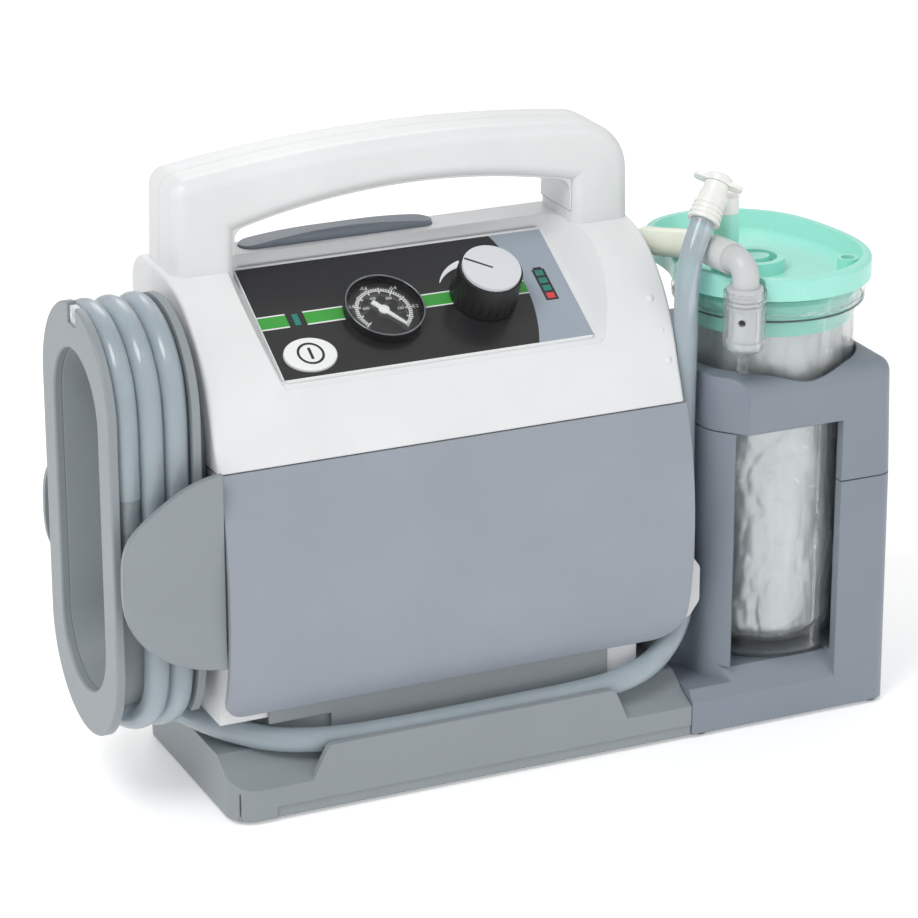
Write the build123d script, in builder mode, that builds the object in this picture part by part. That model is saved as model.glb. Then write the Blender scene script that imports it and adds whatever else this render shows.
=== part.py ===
"""Portable suction pump: carrying case with control panel, hose reel on the left end, and a canister
holder with a lined collection canister on the right end.

Millimetres. +X runs from the reel to the canister, +Y from front to back, +Z up. The origin is on the
floor under the middle of the unit.
"""

import os
from math import cos, pi, radians, sin, tan

from build123d import *

os.makedirs("parts", exist_ok=True)

# --- driving dimensions -------------------------------------------------------------------------
WALL = 2.6                       # moulded shell thickness
GAP = 0.25                       # clearance between neighbouring mouldings
SEAM_GAP = 0.6                   # open seam that shows between outer mouldings

BODY_LEFT, BODY_RIGHT = -153.0, 89.0
BODY_REAR = 61.0
SEAM_Z = 176.0                   # joint between the white upper shell and the covers below it
CREST_Z = 254.0
COVER_BOTTOM = 52.0
CHASSIS_FLOOR = 31.0
CHASSIS_STEP = 46.0              # underside where the hose passes below the left end
CHASSIS_STEP_X = -124.0

BASE_FRONT, BASE_BACK = -62.0, 62.0
BASE_LEFT, BASE_RIGHT = -153.0, 91.0
BASE_WALL = 18.0
BASE_TOP = 29.8
BASE_UNDER = 2.0

HANDLE_Y = 29.0                  # centre plane, also where the two upper shells part
HANDLE_DEPTH = 38.0
HANDLE_LEFT, HANDLE_RIGHT = -149.0, 88.0
GRIP_LEFT, GRIP_RIGHT = -118.0, 57.0
GRIP_FLOOR, GRIP_ROOF = 255.5, 277.0
BAR_LEFT_Z, BAR_MID_Z, BAR_RIGHT_Z = 297.0, 307.0, 299.0

PANEL_TILT = 30.0
PANEL_W, PANEL_H, PANEL_T = 158.0, 72.0, 2.0
PANEL_X = -32.0                  # middle of the recess that the panel lies in
PANEL_MORE = 3.2                 # how much further the panel reaches on the left
PANEL_FOOT = (-37.0, 211.6)      # Y, Z of the panel's lower edge
GAUGE_AT = (-19.5, 33.0)         # panel coordinates: across from the middle, up from the lower edge
KNOB_AT = (33.0, 34.0)
POWER_AT = (-64.3, 13.2)
STATUS_AT = (-63.0, 36.0)
BATTERY_AT = (67.0, 36.0)
GAUGE_R, DIAL_R, LENS_R = 19.6, 17.9, 18.7
NEEDLE_REST = -54.0              # where the scale's zero lies, turned from the panel's local x
KNOB_R = 16.6
KNOB_TOP = 18.6
POWER_OVAL = (13.2, 10.2)
POWER_TRAVEL = 1.0
STRIPE_BAND = (31.6, 40.6)       # height of the coloured band across the panel

REEL_Z = 143.5                   # centre height of the hose reel
REEL_HIGH, REEL_WIDE = 214.0, 93.0
REEL_FACE = -204.0
REEL_RIM = 4.0
FLANGE_X = (-163.2, -159.2)

HOSE_D, HOSE_BORE = 12.0, 8.0
COIL_TURNS = 3
COIL_X = (-199.7, -163.7)
COIL_HALF_WIDTH = 40.0           # from the reel's centre to the hose centreline
COIL_HALF_HEIGHT = 101.0

CAN_X, CAN_Y = 153.0, -16.0
CAN_R, CAN_WALL = 43.5, 2.0
CAN_FLOOR, CAN_TOP = 33.0, 225.0
FLANGE_Z = 213.0
LID_RIM_TOP, LID_SKIRT = 235.0, 224.0
LID_FLOOR = 227.0
HOLDER_LEFT, HOLDER_RIGHT = 91.4, 204.0
HOLDER_TOP = 185.0
HOLDER_SEAM = 157.0
HOLDER_ARM = 125.0
HOLDER_BORE = 44.8

SOCKET_X, SOCKET_Y = 116.0, -59.5
SOCKET_R, SOCKET_BORE = 10.5, 9.2
SOCKET_TOP, SOCKET_FLOOR = 231.5, 202.0
ELBOW_Z = 244.5
STEM_X, STEM_Y, STEM_R = 124.0, -24.0, 6.2
STEM_TOP = 260.0
VAC_HOSE_D = 14.4
PORT_Y, PORT_Z, PORT_R = 14.0, 239.5, 4.6


def write(piece, name):
    """Label a finished sub-part and write its STEP file."""
    piece.part.label = name
    export_step(piece.part, f"parts/{name}.step")


def across(x):
    """A plane square to X at x, whose sketch axes are Y and Z."""
    return Plane(origin=(x, 0, 0), x_dir=(0, 1, 0), z_dir=(1, 0, 0))


def front_view(y):
    """A plane square to Y at y, whose sketch axes are X and Z and whose normal points forward."""
    return Plane(origin=(0, y, 0), x_dir=(1, 0, 0), z_dir=(0, -1, 0))


def level(z):
    return Plane.XY.offset(z)


# The panel's plane: local x runs along X, local y up the slope, local z out of the panel.
PANEL = Plane(
    origin=(PANEL_X, PANEL_FOOT[0], PANEL_FOOT[1]),
    x_dir=(1, 0, 0),
    z_dir=(0, -sin(radians(PANEL_TILT)), cos(radians(PANEL_TILT))),
)


def on_panel(height, at=(0, 0)):
    """The panel plane raised by height, with its origin at a place on the panel."""
    origin = PANEL.from_local_coords(Vector(at[0], at[1], height))
    return Plane(origin=origin, x_dir=PANEL.x_dir, z_dir=PANEL.z_dir)


# --- base ---------------------------------------------------------------------------------------
# The base moulding: a low tray with a sloping front shelf for the hose and a raised lip before it.
LIP_LEFT, LIP_RIGHT, LIP_TOP, LIP_T = -104.0, 48.0, 35.0, 3.4
with BuildPart() as base_plate:
    with BuildSketch(across(BASE_LEFT)):
        with BuildLine():
            Polyline(
                (BASE_FRONT, BASE_UNDER), (BASE_FRONT, BASE_WALL), (-52, 22.5), (-40, BASE_TOP),
                (BASE_BACK, BASE_TOP), (BASE_BACK, BASE_UNDER), close=True,
            )
        make_face()
    extrude(amount=BASE_RIGHT - BASE_LEFT)
    with BuildSketch(level(0)):
        with Locations(((BASE_LEFT + BASE_RIGHT) / 2 + 10, 0)):
            RectangleRounded(BASE_RIGHT - BASE_LEFT + 20, BASE_BACK - BASE_FRONT, 13)
    extrude(amount=BASE_TOP + 1, mode=Mode.INTERSECT)
    with BuildSketch(front_view(BASE_FRONT + LIP_T)):
        with BuildLine():
            Polyline(
                (LIP_LEFT - 11, BASE_WALL - 4), (LIP_LEFT, LIP_TOP), (LIP_RIGHT, LIP_TOP),
                (LIP_RIGHT + 9, BASE_WALL - 4), close=True,
            )
        make_face()
        fillet(vertices().group_by(Axis.Y)[-1], 4)
    extrude(amount=LIP_T)
    with BuildSketch(across(BASE_LEFT + 4)):
        with BuildLine():
            Polyline(
                (BASE_FRONT + 3.4, BASE_UNDER), (BASE_FRONT + 3.4, BASE_WALL - 2), (-51, 19.5),
                (-39, BASE_TOP - 3), (BASE_BACK - 3, BASE_TOP - 3), (BASE_BACK - 3, BASE_UNDER),
                close=True,
            )
        make_face()
    extrude(amount=BASE_RIGHT - BASE_LEFT - 7, mode=Mode.SUBTRACT)
    with BuildSketch(level(BASE_UNDER)):
        Rectangle(2 * (BASE_RIGHT + 40), 2 * BASE_BACK + 4)
        with Locations(((BASE_LEFT + BASE_RIGHT) / 2 + 10, 0)):
            RectangleRounded(
                BASE_RIGHT - BASE_LEFT + 18.6, BASE_BACK - BASE_FRONT - 1.4, 12.3, mode=Mode.SUBTRACT
            )
    extrude(amount=5.5, mode=Mode.SUBTRACT)
write(base_plate, "base_plate")

FOOT_SPOTS = [(-128, -42), (-128, 42), (70, -42), (70, 42)]
HOLDER_FOOT_SPOTS = [(98.5, -55.5), (196.5, -55.5), (98.5, 27), (196.5, 27)]
with BuildPart() as bottom_plate:
    with BuildSketch(level(BASE_UNDER)):
        with Locations(((BASE_LEFT + BASE_RIGHT) / 2, 0)):
            RectangleRounded(BASE_RIGHT - BASE_LEFT - 9, BASE_BACK - BASE_FRONT - 8, 9)
    extrude(amount=2.4)
    with BuildSketch(level(BASE_UNDER)):
        with Locations(*FOOT_SPOTS):
            Circle(4.2)
        with Locations((-100, 0), (45, 0)):
            Circle(2.2)
    extrude(amount=2.4, mode=Mode.SUBTRACT)
write(bottom_plate, "bottom_plate")

with BuildPart() as rubber_feet:
    with BuildSketch(level(0)):
        with Locations(*FOOT_SPOTS):
            Circle(8)
        with Locations(*HOLDER_FOOT_SPOTS):
            Circle(4.4)
    extrude(amount=BASE_UNDER)
    with BuildSketch(level(BASE_UNDER)):
        with Locations(*FOOT_SPOTS):
            Circle(4)
    extrude(amount=4)
    chamfer(edges().group_by(Axis.Z)[0], 0.6)
write(rubber_feet, "rubber_feet")

with BuildPart() as base_screws:
    with BuildSketch(level(BASE_UNDER - 1.4)):
        with Locations((-100, 0), (45, 0)):
            Circle(3.6)
    extrude(amount=1.4)
    with BuildSketch(level(BASE_UNDER)):
        with Locations((-100, 0), (45, 0)):
            Circle(1.9)
    extrude(amount=16)
    with BuildSketch(level(BASE_UNDER - 1.4)):
        with Locations((-100, 0), (45, 0)):
            Rectangle(4.4, 0.9)
            Rectangle(0.9, 4.4)
    extrude(amount=0.8, mode=Mode.SUBTRACT)
write(base_screws, "base_screws")

# --- chassis and lower covers ---------------------------------------------------------------------
# Front line of the covers, from the seam down, as (Y, Z).
COVER_LINE = [(-51, SEAM_Z), (-58, 154), (-62.5, 118), (-61, 86), (-55.5, 63), (-50, COVER_BOTTOM)]
COVER_T = 3.0


def cover_edge(back):
    """The covers' front line moved back by a distance, for the skins that lie behind each other."""
    return [(y + back, z) for y, z in COVER_LINE]


with BuildPart() as front_cover:
    with BuildSketch(across(BODY_LEFT)):
        with BuildLine():
            outer = Spline(*COVER_LINE)
            inner = Spline(*cover_edge(COVER_T))
            Line(outer @ 0, inner @ 0)
            Line(outer @ 1, inner @ 1)
        make_face()
    extrude(amount=BODY_RIGHT + 1 - BODY_LEFT)
    with BuildSketch(front_view(-30)):
        with BuildLine():
            Polyline(
                (BODY_LEFT, SEAM_Z - SEAM_GAP), (BODY_RIGHT + 1, SEAM_Z - SEAM_GAP),
                (BODY_RIGHT + 1, COVER_BOTTOM), (BODY_LEFT, COVER_BOTTOM), close=True,
            )
        make_face()
        fillet(vertices().group_by(Axis.Y)[0].sort_by(Axis.X)[0], 11)
        fillet(vertices().group_by(Axis.Y)[0].sort_by(Axis.X)[-1], 16)
    extrude(amount=40, mode=Mode.INTERSECT)
write(front_cover, "front_cover")

CHASSIS_FRONT = COVER_T + GAP    # how far the chassis lies behind the covers' front line
CHASSIS_LEFT, CHASSIS_RIGHT = BODY_LEFT + 0.8, BODY_RIGHT - 0.6
CHASSIS_TOP = SEAM_Z - 2.0
LOWER_FRONT = -43.0              # the chassis's front wall below the cover


def chassis_outline(inset):
    """Side outline of the chassis, moved in by a distance all round."""
    front = cover_edge(CHASSIS_FRONT + inset)
    return front[1:] + [
        (LOWER_FRONT + inset, COVER_BOTTOM), (LOWER_FRONT + inset, CHASSIS_FLOOR + inset),
        (57.6, CHASSIS_FLOOR + inset), (57.6, CHASSIS_TOP), (-51 + CHASSIS_FRONT + inset, CHASSIS_TOP),
    ]


with BuildPart() as lower_chassis:
    with BuildSketch(across(CHASSIS_LEFT)):
        with BuildLine():
            Polyline(*chassis_outline(0), close=True)
        make_face()
    extrude(amount=CHASSIS_RIGHT - CHASSIS_LEFT)
    with BuildSketch(across(CHASSIS_LEFT - 1)):
        with Locations((0, CHASSIS_STEP - 20)):
            Rectangle(140, 40)
    extrude(amount=CHASSIS_STEP_X - CHASSIS_LEFT + 1, mode=Mode.SUBTRACT)
    with BuildSketch(across(CHASSIS_STEP_X + WALL)):
        with BuildLine():
            Polyline(*chassis_outline(WALL), close=True)
        make_face()
    extrude(amount=CHASSIS_RIGHT - CHASSIS_STEP_X - 2 * WALL, mode=Mode.SUBTRACT)
    with BuildSketch(across(CHASSIS_LEFT + WALL)):
        with BuildLine():
            Polyline(*chassis_outline(WALL), close=True)
        make_face()
        with Locations((0, CHASSIS_STEP + WALL - 40)):
            Rectangle(140, 80, mode=Mode.SUBTRACT)
    extrude(amount=CHASSIS_STEP_X - CHASSIS_LEFT + 1, mode=Mode.SUBTRACT)
    # The hose comes round this corner from the canister end into the channel of the base.
    with BuildSketch(level(CHASSIS_FLOOR - 1)):
        with Locations((83, -48)):
            Rectangle(28, 28)
    extrude(amount=54, mode=Mode.SUBTRACT)
    # And round this one, from the channel to the reel.
    with BuildSketch(level(CHASSIS_FLOOR - 1)):
        with BuildLine():
            Polyline((-126, -38.6), (-126, -46), (-100, -46), (-100, -43.3), close=True)
        make_face()
    extrude(amount=CHASSIS_STEP - CHASSIS_FLOOR, mode=Mode.SUBTRACT)
    with BuildSketch(level(CHASSIS_FLOOR)):
        with BuildLine():
            Polyline((-122.5, -39.23), (-122.5, -36.8), (-106, -39.8), (-106, -42.21), close=True)
        make_face()
    extrude(amount=15)
write(lower_chassis, "lower_chassis")

with BuildPart() as lower_skirt:
    with BuildSketch(across(-96)):
        with BuildLine():
            Polyline(
                (LOWER_FRONT - 0.1, COVER_BOTTOM - 0.3), (-45, COVER_BOTTOM - 0.3), (-45, BASE_TOP + GAP),
                (LOWER_FRONT - 0.1, BASE_TOP + GAP), close=True,
            )
        make_face()
    extrude(amount=148)
    with BuildSketch(across(-128)):
        with Locations((LOWER_FRONT - 1.05, (COVER_BOTTOM + 42.7) / 2)):
            Rectangle(1.9, COVER_BOTTOM - 43.3)
    extrude(amount=33)
write(lower_skirt, "lower_skirt")

REAR_T = 3.0
VENT_X, VENT_Z = (20, 62), 110
INLET_X, INLET_Z, INLET_R = -100.0, 62.0, 2.75
SCREW_SPOTS = [(x, z) for x in (-142, 78) for z in (58, 164)]
with BuildPart() as rear_cover:
    with BuildSketch(front_view(BODY_REAR)):
        with BuildLine():
            Polyline(
                (BODY_LEFT, SEAM_Z - SEAM_GAP), (BODY_RIGHT, SEAM_Z - SEAM_GAP), (BODY_RIGHT, CHASSIS_FLOOR),
                (CHASSIS_STEP_X, CHASSIS_FLOOR), (CHASSIS_STEP_X, CHASSIS_STEP), (BODY_LEFT, CHASSIS_STEP),
                close=True,
            )
        make_face()
    extrude(amount=REAR_T)
    fillet(edges().filter_by(Axis.X).group_by(Axis.Y)[-1], 1.2)
    with BuildSketch(front_view(BODY_REAR)):
        with Locations(((VENT_X[0] + VENT_X[1]) / 2, VENT_Z)):
            with GridLocations(0, 9, 1, 7):
                SlotOverall(VENT_X[1] - VENT_X[0], 4)
        with Locations((INLET_X, INLET_Z)):
            Circle(7.2)
        with Locations(*SCREW_SPOTS):
            Circle(1.8)
        with Locations((-32, 120)):
            Rectangle(30, 8)
    extrude(amount=REAR_T, mode=Mode.SUBTRACT)
write(rear_cover, "rear_cover")

with BuildPart() as housing_screws:
    with BuildSketch(front_view(BODY_REAR + 1.6)):
        with Locations(*SCREW_SPOTS):
            Circle(3.4)
    extrude(amount=1.6)
    with BuildSketch(front_view(BODY_REAR)):
        with Locations(*SCREW_SPOTS):
            Circle(1.6)
    extrude(amount=10)
    with BuildSketch(front_view(BODY_REAR + 1.6)):
        with Locations(*SCREW_SPOTS):
            RegularPolygon(1.5, 6)
    extrude(amount=1, mode=Mode.SUBTRACT)
write(housing_screws, "housing_screws")

with BuildPart() as dc_inlet:
    with BuildSketch(front_view(BODY_REAR + 1)):
        with Locations((INLET_X, INLET_Z)):
            Circle(7)
    extrude(amount=4.2)
    with BuildSketch(front_view(BODY_REAR - 3.2)):
        with Locations((INLET_X, INLET_Z)):
            RectangleRounded(13, 13, 2)
    extrude(amount=11)
    with BuildSketch(front_view(BODY_REAR + 1)):
        with Locations((INLET_X, INLET_Z)):
            Circle(INLET_R)
    extrude(amount=12, mode=Mode.SUBTRACT)
write(dc_inlet, "dc_inlet")

# --- upper shells ---------------------------------------------------------------------------------
# Front line of the white shell from the seam up to the crest, as (Y, Z).
SHELL_LINE = [
    (-51, SEAM_Z), (-45, 192), (-37.5, 212), (-28, 228), (-15, 241), (1, 250), (17, 253.3), (28, CREST_Z),
]
REAR_ROUND = 16.0


def shell_outline(inset, foot):
    """Side outline of the white shell moved in by a distance, open-ended at the foot height."""
    line = [(y + 0.85 * inset, z - 0.55 * inset) for y, z in SHELL_LINE[1:]]
    front = Spline((SHELL_LINE[0][0] + inset, foot), *line, tangents=[(0.3, 1), (1, 0)])
    top = Line(front @ 1, (BODY_REAR - REAR_ROUND, line[-1][1]))
    corner = RadiusArc(top @ 1, (BODY_REAR - inset, CREST_Z - REAR_ROUND), REAR_ROUND - inset)
    back = Line(corner @ 1, (BODY_REAR - inset, foot))
    Line(back @ 1, front @ 0)


with BuildPart() as recess_form:
    # The flared pocket that the control panel lies in.
    with BuildSketch(on_panel(-PANEL_T - 0.02)):
        with Locations((0, PANEL_H / 2 - 1)):
            RectangleRounded(PANEL_W + 7, PANEL_H + 8, 5)
    with BuildSketch(on_panel(24)):
        with Locations((0, PANEL_H / 2 - 1)):
            RectangleRounded(PANEL_W + 38, PANEL_H + 26, 12)
    loft()

with BuildPart() as recess_back:
    # The same pocket with the shell's thickness added, kept solid inside the cavity.
    with BuildSketch(on_panel(-PANEL_T - WALL)):
        with Locations((0, PANEL_H / 2 - 1)):
            RectangleRounded(PANEL_W + 12, PANEL_H + 13, 6)
    with BuildSketch(on_panel(24)):
        with Locations((0, PANEL_H / 2 - 1)):
            RectangleRounded(PANEL_W + 45, PANEL_H + 33, 14)
    loft()

with BuildPart() as shell_cavity:
    with BuildSketch(across(BODY_LEFT + WALL)):
        with BuildLine():
            shell_outline(WALL, SEAM_Z - 3)
        make_face()
    extrude(amount=BODY_RIGHT - BODY_LEFT - 2 * WALL)
    add(recess_back.part, mode=Mode.SUBTRACT)

with BuildPart() as grip_form:
    # The liner of the finger opening: under the bar and down the inner face of each post.
    with BuildSketch(front_view(HANDLE_Y + HANDLE_DEPTH / 2 - 3)):
        with BuildLine():
            left = Line((GRIP_LEFT, GRIP_FLOOR + 3), (GRIP_LEFT, 271))
            arch = ThreePointArc(left @ 1, (-45, 283), (GRIP_RIGHT, 274))
            right = Line(arch @ 1, (GRIP_RIGHT, GRIP_FLOOR + 3))
            outer_right = Line(right @ 1, (GRIP_RIGHT + 7, GRIP_FLOOR + 3))
            rise = Line(outer_right @ 1, (GRIP_RIGHT + 7, 282.5))
            crown = ThreePointArc(rise @ 1, (-45, 292.5), (GRIP_LEFT - 7, 281))
            fall = Line(crown @ 1, (GRIP_LEFT - 7, GRIP_FLOOR + 3))
            Line(fall @ 1, left @ 0)
        make_face()
        fillet(vertices().filter_by(lambda v: v.Y > GRIP_FLOOR + 10), 6)
    extrude(amount=HANDLE_DEPTH - 6)

with BuildPart() as handle_form:
    with BuildSketch(front_view(HANDLE_Y + HANDLE_DEPTH / 2)):
        with BuildLine():
            left = Line((HANDLE_LEFT - 1.5, CREST_Z - 12), (HANDLE_LEFT, BAR_LEFT_Z))
            arch = ThreePointArc(left @ 1, (-40, BAR_MID_Z), (HANDLE_RIGHT, BAR_RIGHT_Z))
            right = Line(arch @ 1, (HANDLE_RIGHT + 1, CREST_Z - 12))
            Line(right @ 1, left @ 0)
        make_face()
        fillet(vertices().group_by(Axis.Y)[-1], 26)
        fillet(vertices().filter_by(lambda v: v.Y > 290).sort_by(Axis.X)[0], 9)
        with BuildLine():
            left = Line((GRIP_LEFT, CREST_Z - 20), (GRIP_LEFT, 271))
            arch = ThreePointArc(left @ 1, (-45, 283), (GRIP_RIGHT, 274))
            right = Line(arch @ 1, (GRIP_RIGHT, CREST_Z - 20))
            Line(right @ 1, left @ 0)
        make_face(mode=Mode.SUBTRACT)
    extrude(amount=HANDLE_DEPTH)
    fillet(edges().group_by(Axis.Y)[0].filter_by(lambda e: e.center().Z > CREST_Z), 6.5)
    fillet(edges().group_by(Axis.Y)[-1].filter_by(lambda e: e.center().Z > CREST_Z), 6.5)

# Release button: a long boat-shaped key in the plateau under the handle.
KEY_X, KEY_Y, KEY_LONG, KEY_DEEP = -55.5, 39.5, 100.0, 13.0
KEY_TOP, KEY_TRAVEL = 259.0, 4.0
SPRING_X = (-90.0, -21.0)
SPRING_SEAT, SPRING_HIGH = 236.4, 11.3
GRIP_DOTS = [(79.5, -29.5), (82.0, -36.5), (83.5, -42.0), (84.6, -46.3)]

with BuildPart() as upper_form:
    with BuildSketch(across(BODY_LEFT)):
        with BuildLine():
            shell_outline(0, SEAM_Z)
        make_face()
    extrude(amount=BODY_RIGHT - BODY_LEFT)
    fillet(edges().group_by(Axis.X)[0].filter_by(lambda e: e.center().Z > SEAM_Z + 5), 2)
    fillet(edges().group_by(Axis.X)[-1].filter_by(lambda e: e.center().Z > SEAM_Z + 5), 2)
    add(recess_form.part, mode=Mode.SUBTRACT)
    add(handle_form.part)
    add(shell_cavity.part, mode=Mode.SUBTRACT)
    add(grip_form.part, mode=Mode.SUBTRACT)

with BuildPart() as upper_shell_front:
    add(upper_form.part)
    split(bisect_by=Plane.XZ.offset(-HANDLE_Y), keep=Keep.TOP)
    with Locations(*[(x, y, z) for (x, y), z in zip(GRIP_DOTS, (223, 209, 195, 181))]):
        Sphere(2.6)
    with BuildSketch(on_panel(-12)):
        with Locations(GAUGE_AT):
            Circle(18.2)
        with Locations(KNOB_AT):
            Circle(9.2)
        with Locations(POWER_AT):
            Ellipse(POWER_OVAL[0] + 3, POWER_OVAL[1] + 3)
        with Locations(STATUS_AT):
            Rectangle(5, 9)
        with Locations(BATTERY_AT):
            Rectangle(7, 24)
    extrude(amount=12, mode=Mode.SUBTRACT)
    with BuildSketch(across(BODY_RIGHT - WALL - 1)):
        with Locations((PORT_Y, PORT_Z)):
            Circle(PORT_R + 0.3)
    extrude(amount=6, mode=Mode.SUBTRACT)
write(upper_shell_front, "upper_shell_front")

with BuildPart() as upper_shell_rear:
    add(upper_form.part)
    split(bisect_by=Plane.XZ.offset(-HANDLE_Y), keep=Keep.BOTTOM)
    with BuildSketch(level(CREST_Z - 6)):
        with Locations((KEY_X, KEY_Y)):
            SlotOverall(KEY_LONG + 0.8, KEY_DEEP + 0.8)
    extrude(amount=12, mode=Mode.SUBTRACT)
    with BuildSketch(level(CREST_Z - 12)):
        with Locations((KEY_X, KEY_Y)):
            SlotOverall(KEY_LONG + 6, KEY_DEEP + 4.4)
    extrude(amount=9.2, mode=Mode.SUBTRACT)
    with BuildSketch(level(SPRING_SEAT - 3)):
        for x in SPRING_X:
            with Locations((x, (32 + BODY_REAR - WALL) / 2 + 0.5)):
                Rectangle(11, BODY_REAR - WALL - 31)
    extrude(amount=3)
write(upper_shell_rear, "upper_shell_rear")

with BuildPart() as handle_grip:
    add(grip_form.part)
    with BuildSketch(front_view(HANDLE_Y + HANDLE_DEPTH / 2 - 3)):
        with BuildLine():
            Polyline(
                (GRIP_LEFT - 9, GRIP_FLOOR), (GRIP_LEFT - 9, GRIP_FLOOR + 3.2), (GRIP_RIGHT + 9, GRIP_FLOOR + 3.2),
                (GRIP_RIGHT + 9, GRIP_FLOOR), close=True,
            )
        make_face()
    extrude(amount=HANDLE_DEPTH, mode=Mode.SUBTRACT)
write(handle_grip, "handle_grip")

with BuildPart() as release_button:
    with BuildSketch(level(CREST_Z - 6.2)):
        with Locations((KEY_X, KEY_Y)):
            SlotOverall(KEY_LONG, KEY_DEEP)
    extrude(amount=KEY_TOP - CREST_Z + 6.2)
    fillet(edges().group_by(Axis.Z)[-1], 3)
    with BuildSketch(level(CREST_Z - 6.2)):
        with Locations((KEY_X, KEY_Y)):
            SlotOverall(KEY_LONG + 5, KEY_DEEP + 3.4)
    extrude(amount=3.2)
    with BuildSketch(front_view(KEY_Y + 9)):
        with BuildLine():
            cut = ThreePointArc((KEY_X - 52, KEY_TOP - 4.2), (KEY_X, KEY_TOP), (KEY_X + 52, KEY_TOP - 3.4))
            Polyline(cut @ 1, (KEY_X + 52, KEY_TOP + 3), (KEY_X - 52, KEY_TOP + 3), cut @ 0)
        make_face()
    extrude(amount=18, mode=Mode.SUBTRACT)
write(release_button, "release_button")

LATCH_X, LATCH_Z = -32.0, 122.0
with BuildPart() as latch_bar:
    with BuildSketch(level(LATCH_Z)):
        with Locations((LATCH_X, 51.5)):
            Rectangle(8, 4)
    extrude(amount=CREST_Z - 6.2 - LATCH_Z)
    with BuildSketch(level(CREST_Z - 9.2)):
        with Locations((LATCH_X, 45.5)):
            Rectangle(8, 14)
    extrude(amount=3)
    with BuildSketch(across(LATCH_X - 12)):
        with BuildLine():
            Polyline(
                (49.5, LATCH_Z - 2), (65.6, LATCH_Z - 2), (65.6, LATCH_Z), (62, LATCH_Z + 1.8),
                (49.5, LATCH_Z + 1.8), close=True,
            )
        make_face()
    extrude(amount=24)
write(latch_bar, "latch_bar")

with BuildPart() as release_springs:
    for x in SPRING_X:
        with BuildLine() as coil:
            Helix(pitch=2.5, height=SPRING_HIGH - 1.0, radius=3.2, center=(x, KEY_Y, SPRING_SEAT + 0.5))
        with BuildSketch(Plane(origin=coil.line @ 0, z_dir=coil.line % 0)):
            Circle(0.4)
        sweep()
write(release_springs, "release_springs")

# --- control panel --------------------------------------------------------------------------------
with BuildPart() as control_panel:
    with BuildSketch(on_panel(-PANEL_T)):
        with Locations((-PANEL_MORE / 2, PANEL_H / 2)):
            RectangleRounded(PANEL_W + PANEL_MORE, PANEL_H, 2.5)
        with Locations(GAUGE_AT):
            Circle(17.8, mode=Mode.SUBTRACT)
        with Locations(KNOB_AT):
            Circle(3.6, mode=Mode.SUBTRACT)
        with Locations(POWER_AT):
            Ellipse(POWER_OVAL[0] + 0.3, POWER_OVAL[1] + 0.3, mode=Mode.SUBTRACT)
        with Locations(STATUS_AT):
            Rectangle(3.2, 7.2, mode=Mode.SUBTRACT)
        with Locations(BATTERY_AT):
            with GridLocations(0, 5, 1, 4):
                Rectangle(4.4, 3.8, mode=Mode.SUBTRACT)
    extrude(amount=PANEL_T)
write(control_panel, "control_panel")

LED_STEP = 5.0
with BuildPart() as status_led:
    with BuildSketch(on_panel(-PANEL_T - 3, STATUS_AT)):
        Rectangle(3, 7)
    extrude(amount=PANEL_T + 3.2)
write(status_led, "status_led")

with BuildPart() as battery_leds:
    for step in (-0.5, 0.5, 1.5):
        with BuildSketch(on_panel(-PANEL_T - 3, (BATTERY_AT[0], BATTERY_AT[1] + step * LED_STEP))):
            Rectangle(4.2, 3.6)
        extrude(amount=PANEL_T + 3.2)
write(battery_leds, "battery_leds")

with BuildPart() as low_battery_led:
    with BuildSketch(on_panel(-PANEL_T - 3, (BATTERY_AT[0], BATTERY_AT[1] - 1.5 * LED_STEP))):
        Rectangle(4.2, 3.6)
    extrude(amount=PANEL_T + 3.2)
write(low_battery_led, "low_battery_led")

BOARD_LEVEL = -10.8
with BuildPart() as power_button:
    with BuildSketch(on_panel(-4.4, POWER_AT)):
        Ellipse(*POWER_OVAL)
    extrude(amount=6)
    fillet(edges().sort_by(SortBy.LENGTH)[-2:], 0.9)
    with BuildSketch(on_panel(-4.6, POWER_AT)):
        Ellipse(POWER_OVAL[0] + 1.6, POWER_OVAL[1] + 1.6)
    extrude(amount=2.2)
    with BuildSketch(on_panel(-6.4, POWER_AT)):
        Circle(3)
    extrude(amount=2)
write(power_button, "power_button")

with BuildPart() as circuit_board:
    with BuildSketch(on_panel(BOARD_LEVEL)):
        with Locations((-60, 34)):
            Rectangle(34, 62)
    extrude(amount=1.6)
    with BuildSketch(on_panel(BOARD_LEVEL + 1.6, POWER_AT)):
        Rectangle(7, 7)
    extrude(amount=1.6)
write(circuit_board, "circuit_board")

with BuildPart() as gauge_case:
    with BuildSketch(on_panel(-20, GAUGE_AT)):
        Circle(17.6)
    extrude(amount=20)
    with BuildSketch(on_panel(0, GAUGE_AT)):
        Circle(GAUGE_R)
    extrude(amount=5.2)
    with BuildSketch(on_panel(0.4, GAUGE_AT)):
        Circle(DIAL_R + 0.1)
    extrude(amount=6, mode=Mode.SUBTRACT)
    with BuildSketch(on_panel(3.6, GAUGE_AT)):
        Circle(LENS_R + 0.1)
    extrude(amount=2, mode=Mode.SUBTRACT)
    with BuildSketch(on_panel(-6, GAUGE_AT)):
        Circle(1.05)
    extrude(amount=7, mode=Mode.SUBTRACT)
write(gauge_case, "gauge_case")

with BuildPart() as gauge_dial:
    with BuildSketch(on_panel(0.4, GAUGE_AT)):
        Circle(DIAL_R)
        Circle(1.05, mode=Mode.SUBTRACT)
    extrude(amount=0.8)
write(gauge_dial, "gauge_dial")

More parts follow.
